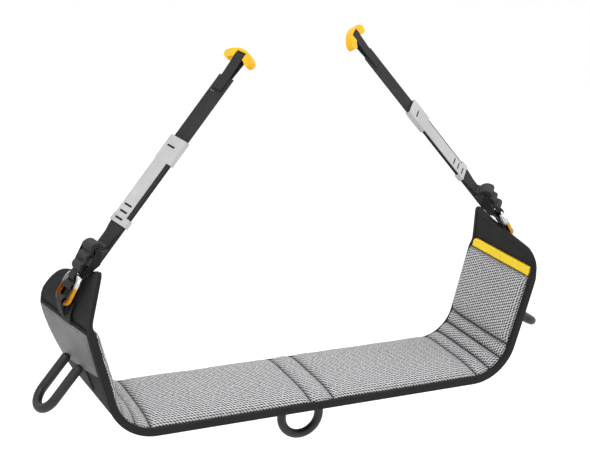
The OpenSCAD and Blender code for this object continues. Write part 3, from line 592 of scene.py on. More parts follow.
def put(name, shape, material, body="seat", nodes=(), painted_shade=None):
    """Makes one piece of the scene, on a body and in place of its CAD nodes."""
    verts, faces, uv = shape
    mesh = bpy.data.meshes.new(name)
    mesh.from_pydata((np.asarray(verts, float) * MM).tolist(), [], [list(map(int, f)) for f in faces])
    # Optional per-point share of painted shade, read by the pad mesh material.
    if painted_shade is not None:
        values = mesh.attributes.new("painted_shade", "FLOAT", "POINT").data
        values.foreach_set("value", np.asarray(painted_shade, np.float32))
    layer = mesh.uv_layers.new(name="UVMap")
    loops = np.zeros(len(mesh.loops), np.int32)
    mesh.loops.foreach_get("vertex_index", loops)
    layer.data.foreach_set("uv", np.asarray(uv, np.float32)[loops].ravel())
    mesh.polygons.foreach_set("use_smooth", [True] * len(mesh.polygons))
    mesh.materials.append(MATERIALS[material])
    bm = bmesh.new()
    bm.from_mesh(mesh)
    bmesh.ops.recalc_face_normals(bm, faces=bm.faces)
    bm.to_mesh(mesh)
    bm.free()
    obj = bpy.data.objects.new(name, mesh)
    bpy.context.scene.collection.objects.link(obj)
    if body:
        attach(obj, body)
    if nodes:
        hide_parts(*nodes)
    return obj


# Pads: crowned, drawn in along the sewn edges
def seam_rise(s, t):
    """Height of the sewn seams over the board, where the foam below them gives only a little."""
    from_edge = np.minimum(1.3 * (INNER + t), 2.2 * (INNER - t))
    return SEAM_RISE * round_off(from_edge, 70.0, 1.0) * (1 - ramp((np.abs(s) - S_WING) / SIDE_LEN))


def pad_rows(spans, step):
    """Stations along a pad: place, distance to the nearest seam, rounding, and share of its own roll."""
    rows = []
    for a, b in spans:
        f = min(PAD_ROUND, (b - a) / 2)
        near = f * NEAR_EDGE
        mid = spread(a + f, b - f, step) if b - a - 2 * f > step else np.array([(a + b) / 2])
        for s in np.concatenate([a + near, mid, b - near[::-1]]):
            rows.append((s, min(s - a, b - s), f, (2 * s - a - b) / (b - a)))
    return (np.array(column)[:, None] for column in zip(*rows))


def pad(name, node, spans, crown, seed, step=2.4, bulge=-1.4, front_round=32.0, rear_round=12.0):
    s, d, f, u = pad_rows(spans, step)
    t0 = np.concatenate([NEAR_EDGE * front_round - INNER,
                         spread(front_round - INNER, INNER - rear_round, step),
                         INNER - NEAR_EDGE[::-1] * rear_round])[None, :]
    t = t0 * (1 + bulge / INNER * (1 - u * u))
    edge = INNER - np.abs(t0)
    shape = round_off(d, f) * round_off(INNER + t0, front_round, 0.55) * round_off(INNER - t0, rear_round)
    pucker = np.exp(-d / 5) * waves(t0, 0 * t0, seed, 11) + np.exp(-edge / 5) * waves(s, 0 * s, seed + 1, 13)
    fill = crown + 0.35 * waves(s, t0, seed + 2, 55) + 0.4 * pucker
    h = 0.3 + seam_rise(s, t0) + shape * fill
    top = at(s, t, h)
    low = at(s, t, -2.0 + 0 * h)
    across = running(top, 1)
    uv = np.stack([running(top, 0), across - across[:, top.shape[1] // 2][:, None]], -1)
    # Painted shade: strongest right at the seams between pads, fainter along the front and rear edges.
    painted_shade = np.clip(0.75 * np.exp(-d / 1.8) + 0.12 * np.exp(-edge / 2.5), 0, 0.8) + 0 * top[..., 0]
    obj = put(name, slab(top, low, uv), "pad_mesh", "seat", (node,), np.tile(painted_shade.ravel(), 2))


def side_pads(side, S):
    w = S["word"]
    start = S_WING - ROLL_COUNT * ROLL_W
    seat = span(side, CENTRE_W / 2 + SEAM / 2, start - SEAM / 2)
    pad(f"seat_cushion_{w}", f"seat_pad_{w}", [seat], 6.5, 20 + side)
    order = range(ROLL_COUNT) if side > 0 else range(ROLL_COUNT - 1, -1, -1)
    rolls = [span(side, start + k * ROLL_W + SEAM / 2, start + (k + 1) * ROLL_W - SEAM / 2) for k in order]
    pad(f"bend_cushion_{w}", f"bend_rolls_{w}", rolls, 5.5, 30 + side, 1.6, 1.2)
    wing = span(side, S_WING + SEAM / 2, S_BAND - SEAM / 2)
    pad(f"side_cushion_{w}", f"side_pad_{w}", [wing], 7.0, 40 + side, bulge=0.6, front_round=7.0,
        rear_round=7.0)


def seam_and_shade_lines():
    """Dark sewn lines between the pads, drawn wide and dark enough to be painted shade of the seam valleys
    too.
    """
    lines = [-CENTRE_W / 2, CENTRE_W / 2]
    for side in SIDES:
        lines += [side * (S_WING - k * ROLL_W) for k in range(ROLL_COUNT + 1)]
    t = spread(-INNER, INNER, 3.0)
    shapes = []
    for s in lines:
        # Wider between the bend rolls, where the strip also paints the shade of the deeper valleys.
        width = 1.3 if abs(s) < CENTRE_W else 2.2
        centre = at(s, t, 0.42 + seam_rise(s, t))
        out = normal(s, t)
        across = unit(np.cross(out, np.gradient(centre, axis=0)))
        shapes.append(ribbon(centre, across, out, width, 0.6))
    put("seam_and_shade_lines", join(shapes), "seam")


pad("centre_roll_pad", "centre_roll", [(SEAM / 2 - CENTRE_W / 2, CENTRE_W / 2 - SEAM / 2)], 6.0, 11, 1.6, 1.0)
for side, S in SIDES.items():
    side_pads(side, S)
seam_and_shade_lines()


# Yellow bands above the side pads
def band(side, S):
    w = S["word"]
    a = S_BAND + SEAM / 2
    b = S_BAND + BAND_W - SEAM / 2
    near = 3 * np.array([0, 0.03, 0.1, 0.25])
    s = np.unique(np.concatenate([spread(a, b, 0.7), a + near, b - near]))
    reach = INNER - 2.5
    corner = 6.5
    rear = np.sqrt(np.clip(corner * corner - np.clip(s - (b - corner), 0, None) ** 2, 0, None))
    rear = (reach - corner + rear)[:, None]
    front = S["band_inset"] - INNER
    t = front + np.linspace(0, 1, 61)[None, :] * (rear - front)
    s = np.repeat(s[:, None], t.shape[1], 1)
    ends = np.minimum(rear - t, t - front) + 0.05
    h = 1.0 + 1.4 * round_off(np.minimum(s - a, b - s), 3.1) * round_off(ends, 3.1)
    h = h + 0.12 * waves(s, t, 50 + side, 25)
    shape = slab(at(side * s, t, h), at(side * s, t, -2.0 + 0 * h), np.stack([s, t], -1))
    put(f"yellow_band_{w}", shape, "band_cloth", "seat", (f"band_{w}",))
    row = sewn_row(side, a + 1.6, spread(3 - reach, reach - 3, 2.0), 2.32, 1, radius=0.22, lift=0.05)
    put(f"band_stitch_{w}", row, "band_cloth")


for side, S in SIDES.items():
    band(side, S)


# Flaps on top of the wings
def flap_height(S, t):
    return S_FLAP + S["front_h"] + (S["rear_h"] - S["front_h"]) * rear_share(t)


def flap_edge(S, offset):
    """Flap's outline from front to rear, a set distance in from its edge, as pairs of s and t."""
    edge = HALF - offset
    front_r = S["front_r"] - offset
    rear_r = S["rear_r"] - offset
    q = np.radians(np.linspace(0, 90, 11))
    t_front = -edge + front_r * (1 - np.cos(q))
    front = np.stack([flap_height(S, t_front) - offset - front_r * (1 - np.sin(q)), t_front], -1)
    t_mid = np.linspace(front_r - edge, edge - rear_r, 31)[1:-1]
    mid = np.stack([flap_height(S, t_mid) - offset, t_mid], -1)
    q = q[::-1]
    t_rear = edge - rear_r * (1 - np.cos(q))
    rear = np.stack([flap_height(S, t_rear) - offset - rear_r * (1 - np.sin(q)), t_rear], -1)
    return np.concatenate([front, mid, rear])


def hem(S, offset):
    """Line round a flap's three free sides, with corners wide enough for the distance in."""
    least = offset + 1
    wide = dict(S, front_r=max(S["front_r"], least), rear_r=max(S["rear_r"], least))
    edge = flap_edge(wide, offset)
    foot = S_FLAP + 3
    front = spread(foot, edge[0, 0], 3)[:-1]
    rear = spread(edge[-1, 0], foot, 3)[1:]
    s = np.concatenate([front, edge[:, 0], rear])
    t = np.concatenate([np.full(len(front), edge[0, 1]), edge[:, 1], np.full(len(rear), edge[-1, 1])])
    return s, t


def flap(side, S):
    w = S["word"]
    edge = flap_edge(S, BINDING_W - FLAP_TUCK)
    foot = S_FLAP + LAYER_GAP
    k = np.linspace(0, 1, 34)[:, None]
    s = foot + (edge[None, :, 0] - S_FLAP - LAYER_GAP) * k ** 1.3
    t = np.repeat(edge[None, :, 1], len(k), 0)
    sag = 0.35 * waves(s, t, 60 + side, 30) * np.clip(k * 3, 0, 1)
    top = at(side * s, t, FLAP_TOP + np.minimum(sag, 0.3))
    shape = slab(top, at(side * s, t, FLAP_OUT + sag * 0.5), np.stack([s, t], -1))
    obj = put(f"wing_flap_{w}", shape, "flap_cloth", "seat", (f"flap_{w}",))
    s, t = hem(S, HEM_IN)
    rows = [sewn_row(side, s, t, FLAP_TOP + 0.25, 1), sewn_row(side, s, t, FLAP_OUT - 0.1)]
    put(f"flap_stitch_{w}", join(rows), "thread_dark")


for side, S in SIDES.items():
    flap(side, S)


# Cover below the board, and the patches on it
def cover():
    s, t = np.broadcast_arrays(spread(LAYER_GAP - S_FLAP, S_FLAP - LAYER_GAP, 2.5)[:, None],
                               spread(-INNER, INNER, 4.0)[None, :])
    shape = slab(at(s, t, COVER_TOP), at(s, t, COVER_OUT), np.stack([s, t], -1))
    put("cover", shape, "cover_cloth", "seat", ("outer_cover",))


def patch_edge(t):
    return S_WING + PATCH_LOW + PATCH_SLANT * (1 - rear_share(t))


def patch(side, S):
    w = S["word"]
    edge = HALF - PATCH_INSET
    top = S_WING + PATCH_HIGH
    k = np.concatenate([[0, 0.008, 0.02, 0.04], np.linspace(0.07, 0.93, 24), [0.96, 0.98, 0.992, 1]])[:, None]
    t = spread(-edge, edge, 2.5)
    t = np.concatenate([t[:1], t[:1] + [0.4, 0.9], t[1:-1], t[-1:] - [0.9, 0.4], t[-1:]])
    t = np.repeat(t[None, :], len(k), 0)
    s = patch_edge(t) + (top - patch_edge(t)) * k
    rim = np.minimum(np.minimum(s - patch_edge(t), top - s), edge - np.abs(t))
    h = PATCH_IN - 0.5 - 1.1 * round_off(rim, 1.3) - 0.25 * np.clip(waves(s, t, 70 + side, 24), 0, 1)
    shape = slab(at(side * s, t, PATCH_IN), at(side * s, t, h), np.stack([s, t], -1))
    obj = put(f"side_patch_{w}", shape, "patch_cloth", "seat", (f"patch_{w}",))
    patch_stitch(side, w, edge - 3, top - 2.5)


def patch_stitch(side, w, t_end, s_top):
    inset = 2.5
    t = spread(-t_end, t_end, 2.5)
    rows = [sewn_row(side, s, t, PATCH_OUT) for s in (patch_edge(t) + inset, np.full_like(t, s_top))]
    for t_side in (-t_end, t_end):
        s = spread(patch_edge(t_side) + inset, s_top, 2.5)
        rows.append(sewn_row(side, s, t_side, PATCH_OUT))
    put(f"patch_stitch_{w}", join(rows), "thread_dark")


cover()
for side, S in SIDES.items():
    patch(side, S)

# Binding all round the shell
STATIONS = np.unique(np.concatenate([spread(0, S_BEND, 8), spread(S_BEND, S_WING, 2.4),
                                     spread(S_WING, S_FLAP, 4),
                                     S_FLAP + np.array([2, 4, 6, 8, 10, 12, 15.0])]))


def half_outline(side, offset):
    S = SIDES[side]
    edge = flap_edge(S, offset)
    limit = flap_edge(S, BINDING_W)
    front = [(side * s, offset - HALF) for s in STATIONS if s < limit[0, 0] - 1]
    rear = [(side * s, HALF - offset) for s in STATIONS[::-1] if s < limit[-1, 0] - 1]
    return front + [(side * s, t) for s, t in edge] + rear


def outline(offset):
    """Shell's outline as s and t, a set distance in from its edge."""
    left = half_outline(-1, offset)
    return np.array(half_outline(1, offset) + left[::-1][1:-1]).T


def binding_faces(s, t, top, below):
    """Points on the binding's outside and padded face. Both come closer on the thinner flaps."""
    share = ramp((np.abs(s) - S_FLAP + KINK_LEN / 2) / KINK_LEN)
    low = COVER_OUT - below + (FLAP_OUT - COVER_OUT) * share
    return at(s, t, low)[:, None], at(s, t, top + FLAP_TOP * share)[:, None]


def squared(wave):
    """Share from 0 to 1 that follows a wave but stays near its ends, for a box with round corners."""
    return (0.5 + 0.5 * np.sign(wave) * np.abs(wave) ** 0.45)[None, :, None]


def binding():
    low_out, high_out = binding_faces(*outline(0), 0.8, 0.4)
    low_in, high_in = binding_faces(*outline(BINDING_W), 0.8, 0.4)
    angle = np.radians(np.arange(0, 360, 15) + 7.5)
    a = squared(np.cos(angle))
    b = squared(np.sin(angle))
    points = (1 - a) * ((1 - b) * low_out + b * high_out) + a * ((1 - b) * low_in + b * high_in)
    verts, faces = sweep(points, closed=True)
    run = along(((low_out + high_out) / 2)[:, 0])
    turn = np.cumsum(np.full(len(angle), 1.2))
    uv = np.stack(np.broadcast_arrays(turn[None, :], run[:, None]), -1).reshape(-1, 2)
    put("binding", (verts, faces, uv), "binding", "seat", ("edge_binding",))


def binding_stitch():
    s, t = outline(BINDING_W - 1.3)
    low, high = binding_faces(s, t, 0.72, 0.32)
    out = normal(s, t)
    put("binding_stitch", join([stitches(high[:, 0], out), stitches(low[:, 0], -out)]), "thread_dark")


binding()
binding_stitch()


# Anchors, rings, buckles and straps
class Rig:
    """Places of one side's anchor, ring and strap, worked out as in the part's source."""

    def __init__(self, side, S):
        self.side = side
        self.S = S
        self.word = S["word"]
        self.t = S["anchor_t"]
        heading = math.radians(S["heading"])
        self.h = np.array([math.cos(heading), math.sin(heading), 0.0])
        self.across = np.array([-self.h[1], self.h[0], 0.0])
        self.s_high = side * (S_FLAP + S["anchor_rise"])
        self.s_low = self.s_high - side * ANCHOR_LEN
        low = shell(self.s_low, self.t)
        self.belt_out = unit(np.cross(self.across, shell(self.s_high, self.t) - low))
        self.slack = max(self.bulge(low, k, j) for k in np.linspace(0, 1, 7) for j in (-1, 0, 1))
        self.seat = self.belt_point(self.s_high, TAB_OUT - SEW_GAP - WEB_T - TURN_GAP - ROD_R)
        self.ring_up = self.inward(S["ring_lean"])
        self.ring_out = np.cross(self.across, self.ring_up)
        self.top = self.seat + RING_RISE * self.ring_up
        self.along = self.inward(S["strap_lean"])
        self.out = np.cross(self.across, self.along)
        self.twist = math.radians(S["strap_twist"])
        self.up_out = self.out * math.cos(self.twist) + self.across * math.sin(self.twist)
        self.up_across = self.across * math.cos(self.twist) - self.out * math.sin(self.twist)
        self.origin = self.top + TWIST_X * self.out - TWIST_X * self.up_out

    def bulge(self, low, k, j):
        """How far the shell stands out of the straight belt at one point under the anchor."""
        point = shell(self.s_low + (self.s_high - self.s_low) * k, self.t + j * ANCHOR_W / 2)
        return float((point - low) @ self.belt_out)

    def belt_point(self, s, h):
        return shell(s, self.t) + (self.slack - h) * self.belt_out

    def inward(self, lean):
        a = math.radians(lean)
        return -math.sin(a) * self.h + np.array([0, 0, math.cos(a)])

    def low(self, x, y, z):
        """Point in the frame of the ring's upper bar."""
        x, y, z = (np.asarray(v, float)[..., None] for v in np.broadcast_arrays(x, y, z))
        return self.top + x * self.out + y * self.across + z * self.along

    def turned(self, x, y, z):
        """Point on webbing that twists between the ring and the buckle."""
        q = self.twist * ramp((z - TWIST_LOW) / (TWIST_HIGH - TWIST_LOW))
        across = (x - TWIST_X) * np.sin(q) + y * np.cos(q)
        return self.low(TWIST_X + (x - TWIST_X) * np.cos(q) - y * np.sin(q), across, z)

    def up(self, x, y, z):
        """Point in the frame of the buckle and strap, above the twist."""
        x, y, z = (np.asarray(v, float)[..., None] for v in np.broadcast_arrays(x, y, z))
        middle = self.top + TWIST_X * self.out
        return middle + (x - TWIST_X) * self.up_out + y * self.up_across + z * self.along

    def upper_ribbon(self, path, width, thick):
        """Ribbon along a flat path in the frame of the buckle and strap."""
        return flat_ribbon(path, self.up_out, self.up_across, self.along, self.origin, width, thick)


def web_strip(name, node, side, s, t, rim):
    """Webbing sewn flat on the cover. Its rim is the distance to its nearest edge."""
    edge = WEB_T / 2
    low = PATCH_IN - edge - edge * round_off(rim, edge)
    shape = slab(at(side * s, t, PATCH_IN), at(side * s, t, low), np.stack([t, s], -1))
    put(name, shape, "webbing", "seat", (node,))


def anchor(R):
    side, w, middle = R.side, R.word, R.t
    a = S_WING + PATCH_HIGH + LAYER_GAP
    b = S_FLAP + R.S["anchor_rise"]
    half_w = STRAP_W / 2
    s = np.repeat(spread(a, b, 1.5)[:, None], 19, 1)
    t = middle + np.repeat((np.linspace(-1, 1, 19) * half_w)[None, :], len(s), 0)
    rim = np.minimum(np.minimum(s - a, b - s), half_w - np.abs(t - middle))
    web_strip(f"anchor_strip_{w}", f"anchor_tab_{w}", side, s, t, rim)
    t_low = middle - half_w + 2
    t_high = middle + half_w - 2
    rows = [sewn_row(side, spread(a + 1, b - 1, 2), t, TAB_OUT) for t in (t_low, t_high)]
    rows += [sewn_row(side, s, spread(t_low, t_high, 2), TAB_OUT) for s in (a + 3, a + 6)]
    put(f"anchor_stitch_{w}", join(rows), "thread_dark")
    end = R.belt_point(R.s_low, TAB_OUT - SEW_GAP - WEB_T - FOLD_GAP) - R.seat
    path = wrap((0, 0), ROD_R + TURN_GAP + WEB_T / 2, (end @ R.h, end[2]), FOLD_GAP + WEB_T / 2)
    shape = flat_ribbon(path, R.h, R.across, np.array([0, 0, 1.0]), R.seat, ANCHOR_W, WEB_T, True)
    put(f"anchor_web_{w}", shape, "webbing", "seat", (f"anchor_loop_{w}",))


def ring(R):
    """Metal ring, with a roll of webbing between its legs."""
    w = R.word
    right = RING_HALF_W - RING_BEND
    high = RING_RISE - RING_BEND
    corners = ((right, high), (-right, high), (-right, RING_BEND), (right, RING_BEND))
    path = np.concatenate([arc(c, RING_BEND, 90 * i, 90 * i + 90, 10) for i, c in enumerate(corners)])
    shares = np.linspace(0, 1, 5, endpoint=False)[:, None]
    path = np.concatenate([p + (q - p) * shares for p, q in zip(path, np.roll(path, -1, 0))])
    d = headings(path, True)
    angle = np.radians(np.arange(0, 360, 15))
    middle = R.seat + path[:, :1] * R.across + path[:, 1:] * R.ring_up
    outward = d[:, 1:] * R.across - d[:, :1] * R.ring_up
    round_rod = np.cos(angle)[None, :, None] * outward[:, None] + np.sin(angle)[None, :, None] * R.ring_out
    verts, faces = sweep(middle[:, None] + ROD_R * round_rod, closed=True)
    turn = np.arange(len(angle))[None, :] * 1.05
    uv = np.stack(np.broadcast_arrays(turn, path[:, 1:]), -1).reshape(-1, 2)
    put(f"ring_bar_{w}", (verts, faces, uv), "ring_metal", f"{w}_ring", (f"ring_{w}",))
    roll = arc((0, 0), 1, 0, 360, 33)[:-1] * [4.6, 4.2] + [0, 18.8]
    shape = flat_ribbon(roll, R.ring_out, R.across, R.ring_up, R.seat, 19.4, WEB_T, True)
    put(f"ring_roll_{w}", shape, "webbing", f"{w}_ring")


def link(R):
    """Narrow webbing from the ring to the buckle, twisting on its way."""
    w = R.word
    section = web_section(ANCHOR_W, WEB_T)
    path = wrap((0, 0), ROD_R + TURN_GAP + WEB_T / 2, BAR_1, BAR_R + FOLD_GAP + WEB_T / 2)
    verts, faces = sweep(R.turned(*offsets(path, headings(path, True), section)), closed=True)
    uv = np.stack(np.broadcast_arrays(section[None, :, 0], along(path)[:, None]), -1).reshape(-1, 2)
    put(f"link_web_{w}", (verts, faces, uv), "webbing", f"{w}_buckle", (f"link_{w}",))


def buckle_route():
    """Flat path of the strap: down inside, round the middle bar, over the top bar and up again."""
    web_r = BAR_R + FOLD_GAP + WEB_T / 2
    cross = math.degrees(math.atan2(BAR_3[1] - BAR_2[1], BAR_3[0] - BAR_2[0])) - 90
    leave = 80
    q = math.radians(leave)
    over = BAR_3 + web_r * np.array([math.cos(q), math.sin(q)])
    lead = over + 2 * web_r * np.array([-math.sin(q), math.cos(q)])
    tail = np.array([TAIL_X, FOLD_H])
    k = np.linspace(0, 1, 18)[1:, None]
    curve = (1 - k) ** 3 * over + 3 * k * (1 - k) ** 2 * lead
    curve = curve + 3 * k * k * (1 - k) * (tail - [0, 6.0]) + k ** 3 * tail
    drop = upright(STRAP_X, np.linspace(JOIN_H, BAR_2[1] + 2, 22))
    rise = upright(TAIL_X, np.linspace(FOLD_H, JOIN_H, 13)[1:])
    turns = [arc(BAR_2, web_r, 180, 360 + cross, 20), arc(BAR_3, web_r, cross, leave, 16)]
    route = np.concatenate([drop, *turns, curve, rise])
    start = len(drop)
    last = len(route) - 1
    narrow = np.interp(np.arange(len(route)), [start, start + 14, last - 10, last], [0, 1, 1, 0], 0, 0)
    return route, 1 - 0.3 * ramp(narrow)


def buckle_web(R):
    w = R.word
    section = web_section(STRAP_W, WEB_T)
    route, width = buckle_route()
    x, y, z = offsets(route, headings(route, False), section)
    y = y * width[:, None]
    verts, faces = sweep(R.up(x, y, z))
    uv = np.stack(np.broadcast_arrays(y, along(route)[:, None]), -1).reshape(-1, 2)
    obj = put(f"buckle_web_{w}", (verts, faces, uv), "webbing", None, (f"strap_lower_{w}",))
    start = tuple(R.up(TWIST_X, 0, 44.0) * MM)
    end = tuple(R.up(TWIST_X, 0, JOIN_H) * MM)
    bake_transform(obj)


# Folds over the buckle, from below upwards, as distance out and height
FOLD_KNOTS = np.array([(4.8, 6.6), (9.4, 9.0), (10.8, 13.0), (8.4, 16.5), (7.0, 18.2), (9.2, 20.0),
                       (12.1, 24.0), (10.4, 28.0), (8.8, 30.0), (11.6, 32.0), (15.0, 36.0), (13.6, 40.5),
                       (9.0, 44.0), (3.4, 44.6), (-0.6, 44.0), (-2.6, 47.0)])
# Layers that fill the space under the folds: distance out, lower end and upper end
FILLERS = ((-4.2, 27.6, 44.0), (-2.1, 29.9, 42.0), (0.0, 32.1, 40.6), (2.1, 34.3, 39.9), (4.2, 36.5, 39.4),
           (-2.1, 18.4, 20.5), (0.0, 18.6, 22.0), (2.4, 18.6, 24.4), (4.6, 16.5, 26.6))


def tongue(R):
    """Webbing that hangs below the buckle, narrower at its lower end."""
    z = spread(-3, 23, 1.5)
    path = np.stack([np.interp(z, [2, 9, 14], [-7.0, -6.6, -5.0]), z], -1)
    px, py, pz = offsets(path, headings(path, False), web_section(STRAP_W, 1.8))
    py = py * np.interp(z, [4, 17], [R.S["tongue"], 1.0])[:, None]
    verts, faces = sweep(R.turned(px, py, pz))
    return verts, faces, np.stack([py, pz], -1).reshape(-1, 2)


def buckle_fold(R):
    """Doubled narrow webbing that lies over the buckle in sewn folds."""
    fold_t = 2.2
    path = smooth_line(FOLD_KNOTS, 8)
    d = headings(path, False)
    outward = np.stack([-d[:, 1], d[:, 0]], -1)
    folds = [R.upper_ribbon(path + k * outward, width, fold_t) for k, width in ((0, 16.0), (fold_t, 15.0))]
    folds.append(tongue(R))
    for x, low, high in FILLERS:
        folds.append(R.upper_ribbon(upright(x, np.linspace(low, high, 6)), 24.6, WEB_T))
    put(f"buckle_fold_{R.word}", join(folds), "fold_webbing", f"{R.word}_buckle")


def straps(R):
    """Main strap and its doubled tail."""
    w = R.word
    for name, node, x, high in ((f"main_web_{w}", f"strap_{w}", STRAP_X, STRAP_TOP),
                                (f"tail_web_{w}", f"strap_tail_{w}", TAIL_X, KEEPER_LOW + TAIL_LEN)):
        z = spread(KEEPER_LOW, high, 2.5)
        across = repeated(R.up_across, len(z))
        shape = ribbon(R.up(x, 0, z), across, repeated(R.up_out, len(z)), STRAP_W, WEB_T)
        put(name, shape, "webbing", f"{w}_strap", (node,))


def toggle_loop(R):
    """Narrow webbing up one face of the strap, round the toggle's bar and down the other face."""
    w = R.word
    knee = STRAP_TOP + TOGGLE_WEB_T
    top_r = TOGGLE_BAR_R + TURN_GAP + TOGGLE_WEB_T / 2
    open_angle = math.degrees(math.acos((LAP_X - top_r) / (STRAP_LEN - knee)))
    over = arc((STRAP_X, STRAP_LEN), top_r, 90 - open_angle, 90 + open_angle, 24)
    right = np.array([STRAP_X + LAP_X, knee])
    left = np.array([STRAP_X - LAP_X, knee])
    rise = np.linspace(TOGGLE_LOW, knee, 9)
    fall = np.linspace(knee, TOGGLE_LOW, 9)
    path = np.concatenate([upright(right[0], rise), between(right, over[0], 10), over,
                           between(over[-1], left, 10), upright(left[0], fall)])
    shape = R.upper_ribbon(path, TOGGLE_WEB_W, TOGGLE_WEB_T)
    put(f"toggle_web_{w}", shape, "webbing", f"{w}_strap", (f"toggle_loop_{w}",))


def cross_rows(R, out, y, z, radius):
    """Stitches across both faces of a strap, a set distance out from its middle."""
    return [stitches(R.up(STRAP_X + face * out, y, z), repeated(face * R.up_out, len(y)), radius)
            for face in (1, -1)]


def strap_stitch(R):
    w = R.word
    on_strap = 0.98
    rows = []
    for rise in (2, 9, 16):
        rows += cross_rows(R, LAP_X + 0.75, spread(-6, 6, 1), TOGGLE_LOW + rise, 0.28)
    rows += cross_rows(R, on_strap, spread(-11, 11, 1), STRAP_TOP - 1.8, 0.3)
    put(f"strap_stitch_{w}", join(rows), "thread_dark", f"{w}_strap")
    short = cross_rows(R, on_strap, spread(-9, -1, 1), TOGGLE_LOW - 3, 0.3)
    put(f"strap_pale_stitch_{w}", join(short), R.S["short_thread"], f"{w}_strap")


for side, S in SIDES.items():
    rig = Rig(side, S)
    for make in (anchor, ring, link, buckle_web, buckle_fold, straps, toggle_loop, strap_stitch):
        make(rig)


# Sewn strips that hold the tube loops
def loop_strip(side, S):
    w = S["word"]
    low = S_WING + PATCH_LOW - TAB_DEEP
    t = np.repeat(spread(-TAB_HALF, TAB_HALF, 1.5)[None, :], 14, 0)
    s = low + (patch_edge(t) - LAYER_GAP - low) * np.linspace(0, 1, 14)[:, None]
    rim = np.minimum(np.minimum(s - low, patch_edge(t) - s), TAB_HALF - np.abs(t))
    web_strip(f"loop_strip_{w}", f"loop_tab_{w}", side, s, t, rim)
    row = sewn_row(side, low + 2, spread(2 - TAB_HALF, TAB_HALF - 2, 2), TAB_OUT)
    put(f"loop_strip_stitch_{w}", row, "thread_dark")


def loop_strip_centre():
    half_w = CENTRE_TAB_HALF
    s = np.repeat(spread(-half_w, half_w, 1.5)[:, None], 13, 1)
    t = np.repeat((CENTRE_TAB_T + np.linspace(-TAB_DEEP, TAB_DEEP, 13))[None, :], len(s), 0)
    rim = np.minimum(half_w - np.abs(s), TAB_DEEP - np.abs(t - CENTRE_TAB_T))
    web_strip("loop_strip_centre", "loop_tab_centre", 1, s, t, rim)


for side, S in SIDES.items():
    loop_strip(side, S)
loop_strip_centre()


# Hard pieces: the CAD shape with softened edges
def softened(name, node, material, body, width, segments=3):
    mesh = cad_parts[node].data.copy()
    mesh.name = name
    mesh.materials.clear()
    mesh.materials.append(MATERIALS[material])
    bm = bmesh.new()
    bm.from_mesh(mesh)
    bmesh.ops.remove_doubles(bm, verts=bm.verts, dist=2e-6)
    bmesh.ops.dissolve_limit(bm, angle_limit=math.radians(0.6), verts=bm.verts, edges=bm.edges)
    for face in bm.faces:
        face.smooth = True
    bm.to_mesh(mesh)
    bm.free()
    if "custom_normal" in mesh.attributes:
        mesh.attributes.remove(mesh.attributes["custom_normal"])
    obj = bpy.data.objects.new(name, mesh)
    bpy.context.scene.collection.objects.link(obj)
    bevel = obj.modifiers.new("edges", "BEVEL")
    bevel.width = width * MM
    bevel.segments = segments
    bevel.limit_method = "ANGLE"
    bevel.angle_limit = math.radians(32)
    bevel.harden_normals = True
    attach(obj, body)
    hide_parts(node)


def repaint(node, material):
    """Keeps a CAD piece's shape and gives it a material."""
    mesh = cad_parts[node].data
    mesh.materials.clear()
    mesh.materials.append(MATERIALS[material])


for w in ("left", "right"):
    softened(f"keeper_plate_{w}", f"keeper_{w}", "keeper_vinyl", f"{w}_strap", 0.35, 2)
    softened(f"grip_{w}", f"toggle_{w}", "toggle_plastic", f"{w}_toggle", 1.1)
    softened(f"buckle_frame_{w}", f"buckle_{w}", "buckle_metal", f"{w}_buckle", 0.35, 2)
for place in ("left", "right", "centre"):
    repaint(f"gear_loop_{place}", "loop_tube")
repaint("frame_board", "board")

# Floor, light and camera
FLOOR_HALF = 40
FLOOR_Z = -0.62
SEEN_RAYS = ("Is Camera Ray", "Is Glossy Ray", "Is Transmission Ray")
LAMP_AIM = (0, 0, 0.05)


def make_floor():
    """Pale floor that takes the shadow and looks a little brighter than it lights."""
    corners = [(x * FLOOR_HALF, y * FLOOR_HALF, FLOOR_Z) for x, y in ((-1, -1), (1, -1), (1, 1), (-1, 1))]
    mesh = bpy.data.meshes.new("floor")
    mesh.from_pydata(corners, [], [(0, 1, 2, 3)])
    floor = bpy.data.objects.new("floor", mesh)
    bpy.context.scene.collection.objects.link(floor)
    p = Paint("floor", 0.9, specular=0.1)
    ray = p.tree.nodes.new("ShaderNodeLightPath").outputs
    camera, glossy, through = (ray[kind] for kind in SEEN_RAYS)
    seen = p.math("MAXIMUM", camera, p.math("MAXIMUM", glossy, through))
    glow = p.math("MULTIPLY", seen, 0.12)
    p.set(p.shader, {"Emission Color": (1, 1, 1, 1), "Emission Strength": glow})
    mesh.materials.append(p.finish(p.mix(p.noise(3.0), grey(0.90), grey(0.93))))


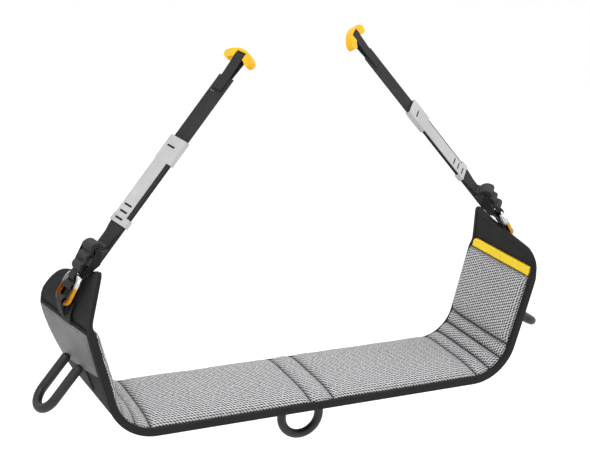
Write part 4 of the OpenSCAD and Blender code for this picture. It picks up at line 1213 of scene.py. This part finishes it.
def make_world():
    """Soft light that grows upwards, over a background that looks white."""
    world = bpy.data.worlds.new("studio")
    bpy.context.scene.world = world
    sky = Nodes(world)
    height = sky.add("ShaderNodeSeparateXYZ", {0: sky.add("ShaderNodeTexCoord")}, out=2)
    strength = sky.level(height, -0.2, 0.7, 0.3, 1.05)
    ray = sky.tree.nodes.new("ShaderNodeLightPath").outputs
    for kind in SEEN_RAYS:
        strength = sky.math("MAXIMUM", strength, ray[kind])
    sky.set(sky.tree.nodes["Background"], {"Color": (1, 1, 1, 1), "Strength": strength})


def make_lamp(name, place, size, power):
    data = bpy.data.lights.new(name, "AREA")
    data.shape = "DISK"
    data.size = size
    data.energy = power
    obj = bpy.data.objects.new(name, data)
    obj.location = place
    obj.rotation_mode = "QUATERNION"
    obj.rotation_quaternion = (Vector(LAMP_AIM) - Vector(place)).to_track_quat("-Z", "Y")
    bpy.context.scene.collection.objects.link(obj)


def make_camera(place, azimuth, elevation, roll, lens):
    """Pinhole camera at the photo's viewing angle. Angles are in degrees."""
    az, el, turn = (math.radians(v) for v in (azimuth, elevation, roll))
    back = Vector((math.sin(az) * math.cos(el), -math.cos(az) * math.cos(el), math.sin(el)))
    level = Vector((math.cos(az), math.sin(az), 0))
    upward = back.cross(level)
    right = math.cos(turn) * level + math.sin(turn) * upward
    top = -math.sin(turn) * level + math.cos(turn) * upward
    data = bpy.data.cameras.new("camera")
    data.lens = lens
    data.sensor_width = 36.0
    data.sensor_fit = "HORIZONTAL"
    data.clip_start = 0.05
    data.clip_end = 60
    camera = bpy.data.objects.new("camera", data)
    matrix = Matrix.Identity(4)
    for column, vector in enumerate((right, top, back, place)):
        for row in range(3):
            matrix[row][column] = vector[row]
    camera.matrix_world = matrix
    bpy.context.scene.collection.objects.link(camera)
    bpy.context.scene.camera = camera


make_floor()
make_world()
make_lamp("key", (-1.2, -1.6, 2.2), 1.2, 28)
make_lamp("fill", (1.8, -1.2, 1.6), 1.6, 14)
make_lamp("top", (0.2, 0.9, 2.4), 1.6, 16)
make_camera((-0.6741, -1.3998, 0.7023), azimuth=-25.192, elevation=18.024, roll=2.393, lens=81.56)
bpy.context.scene.view_settings.view_transform = "Standard"
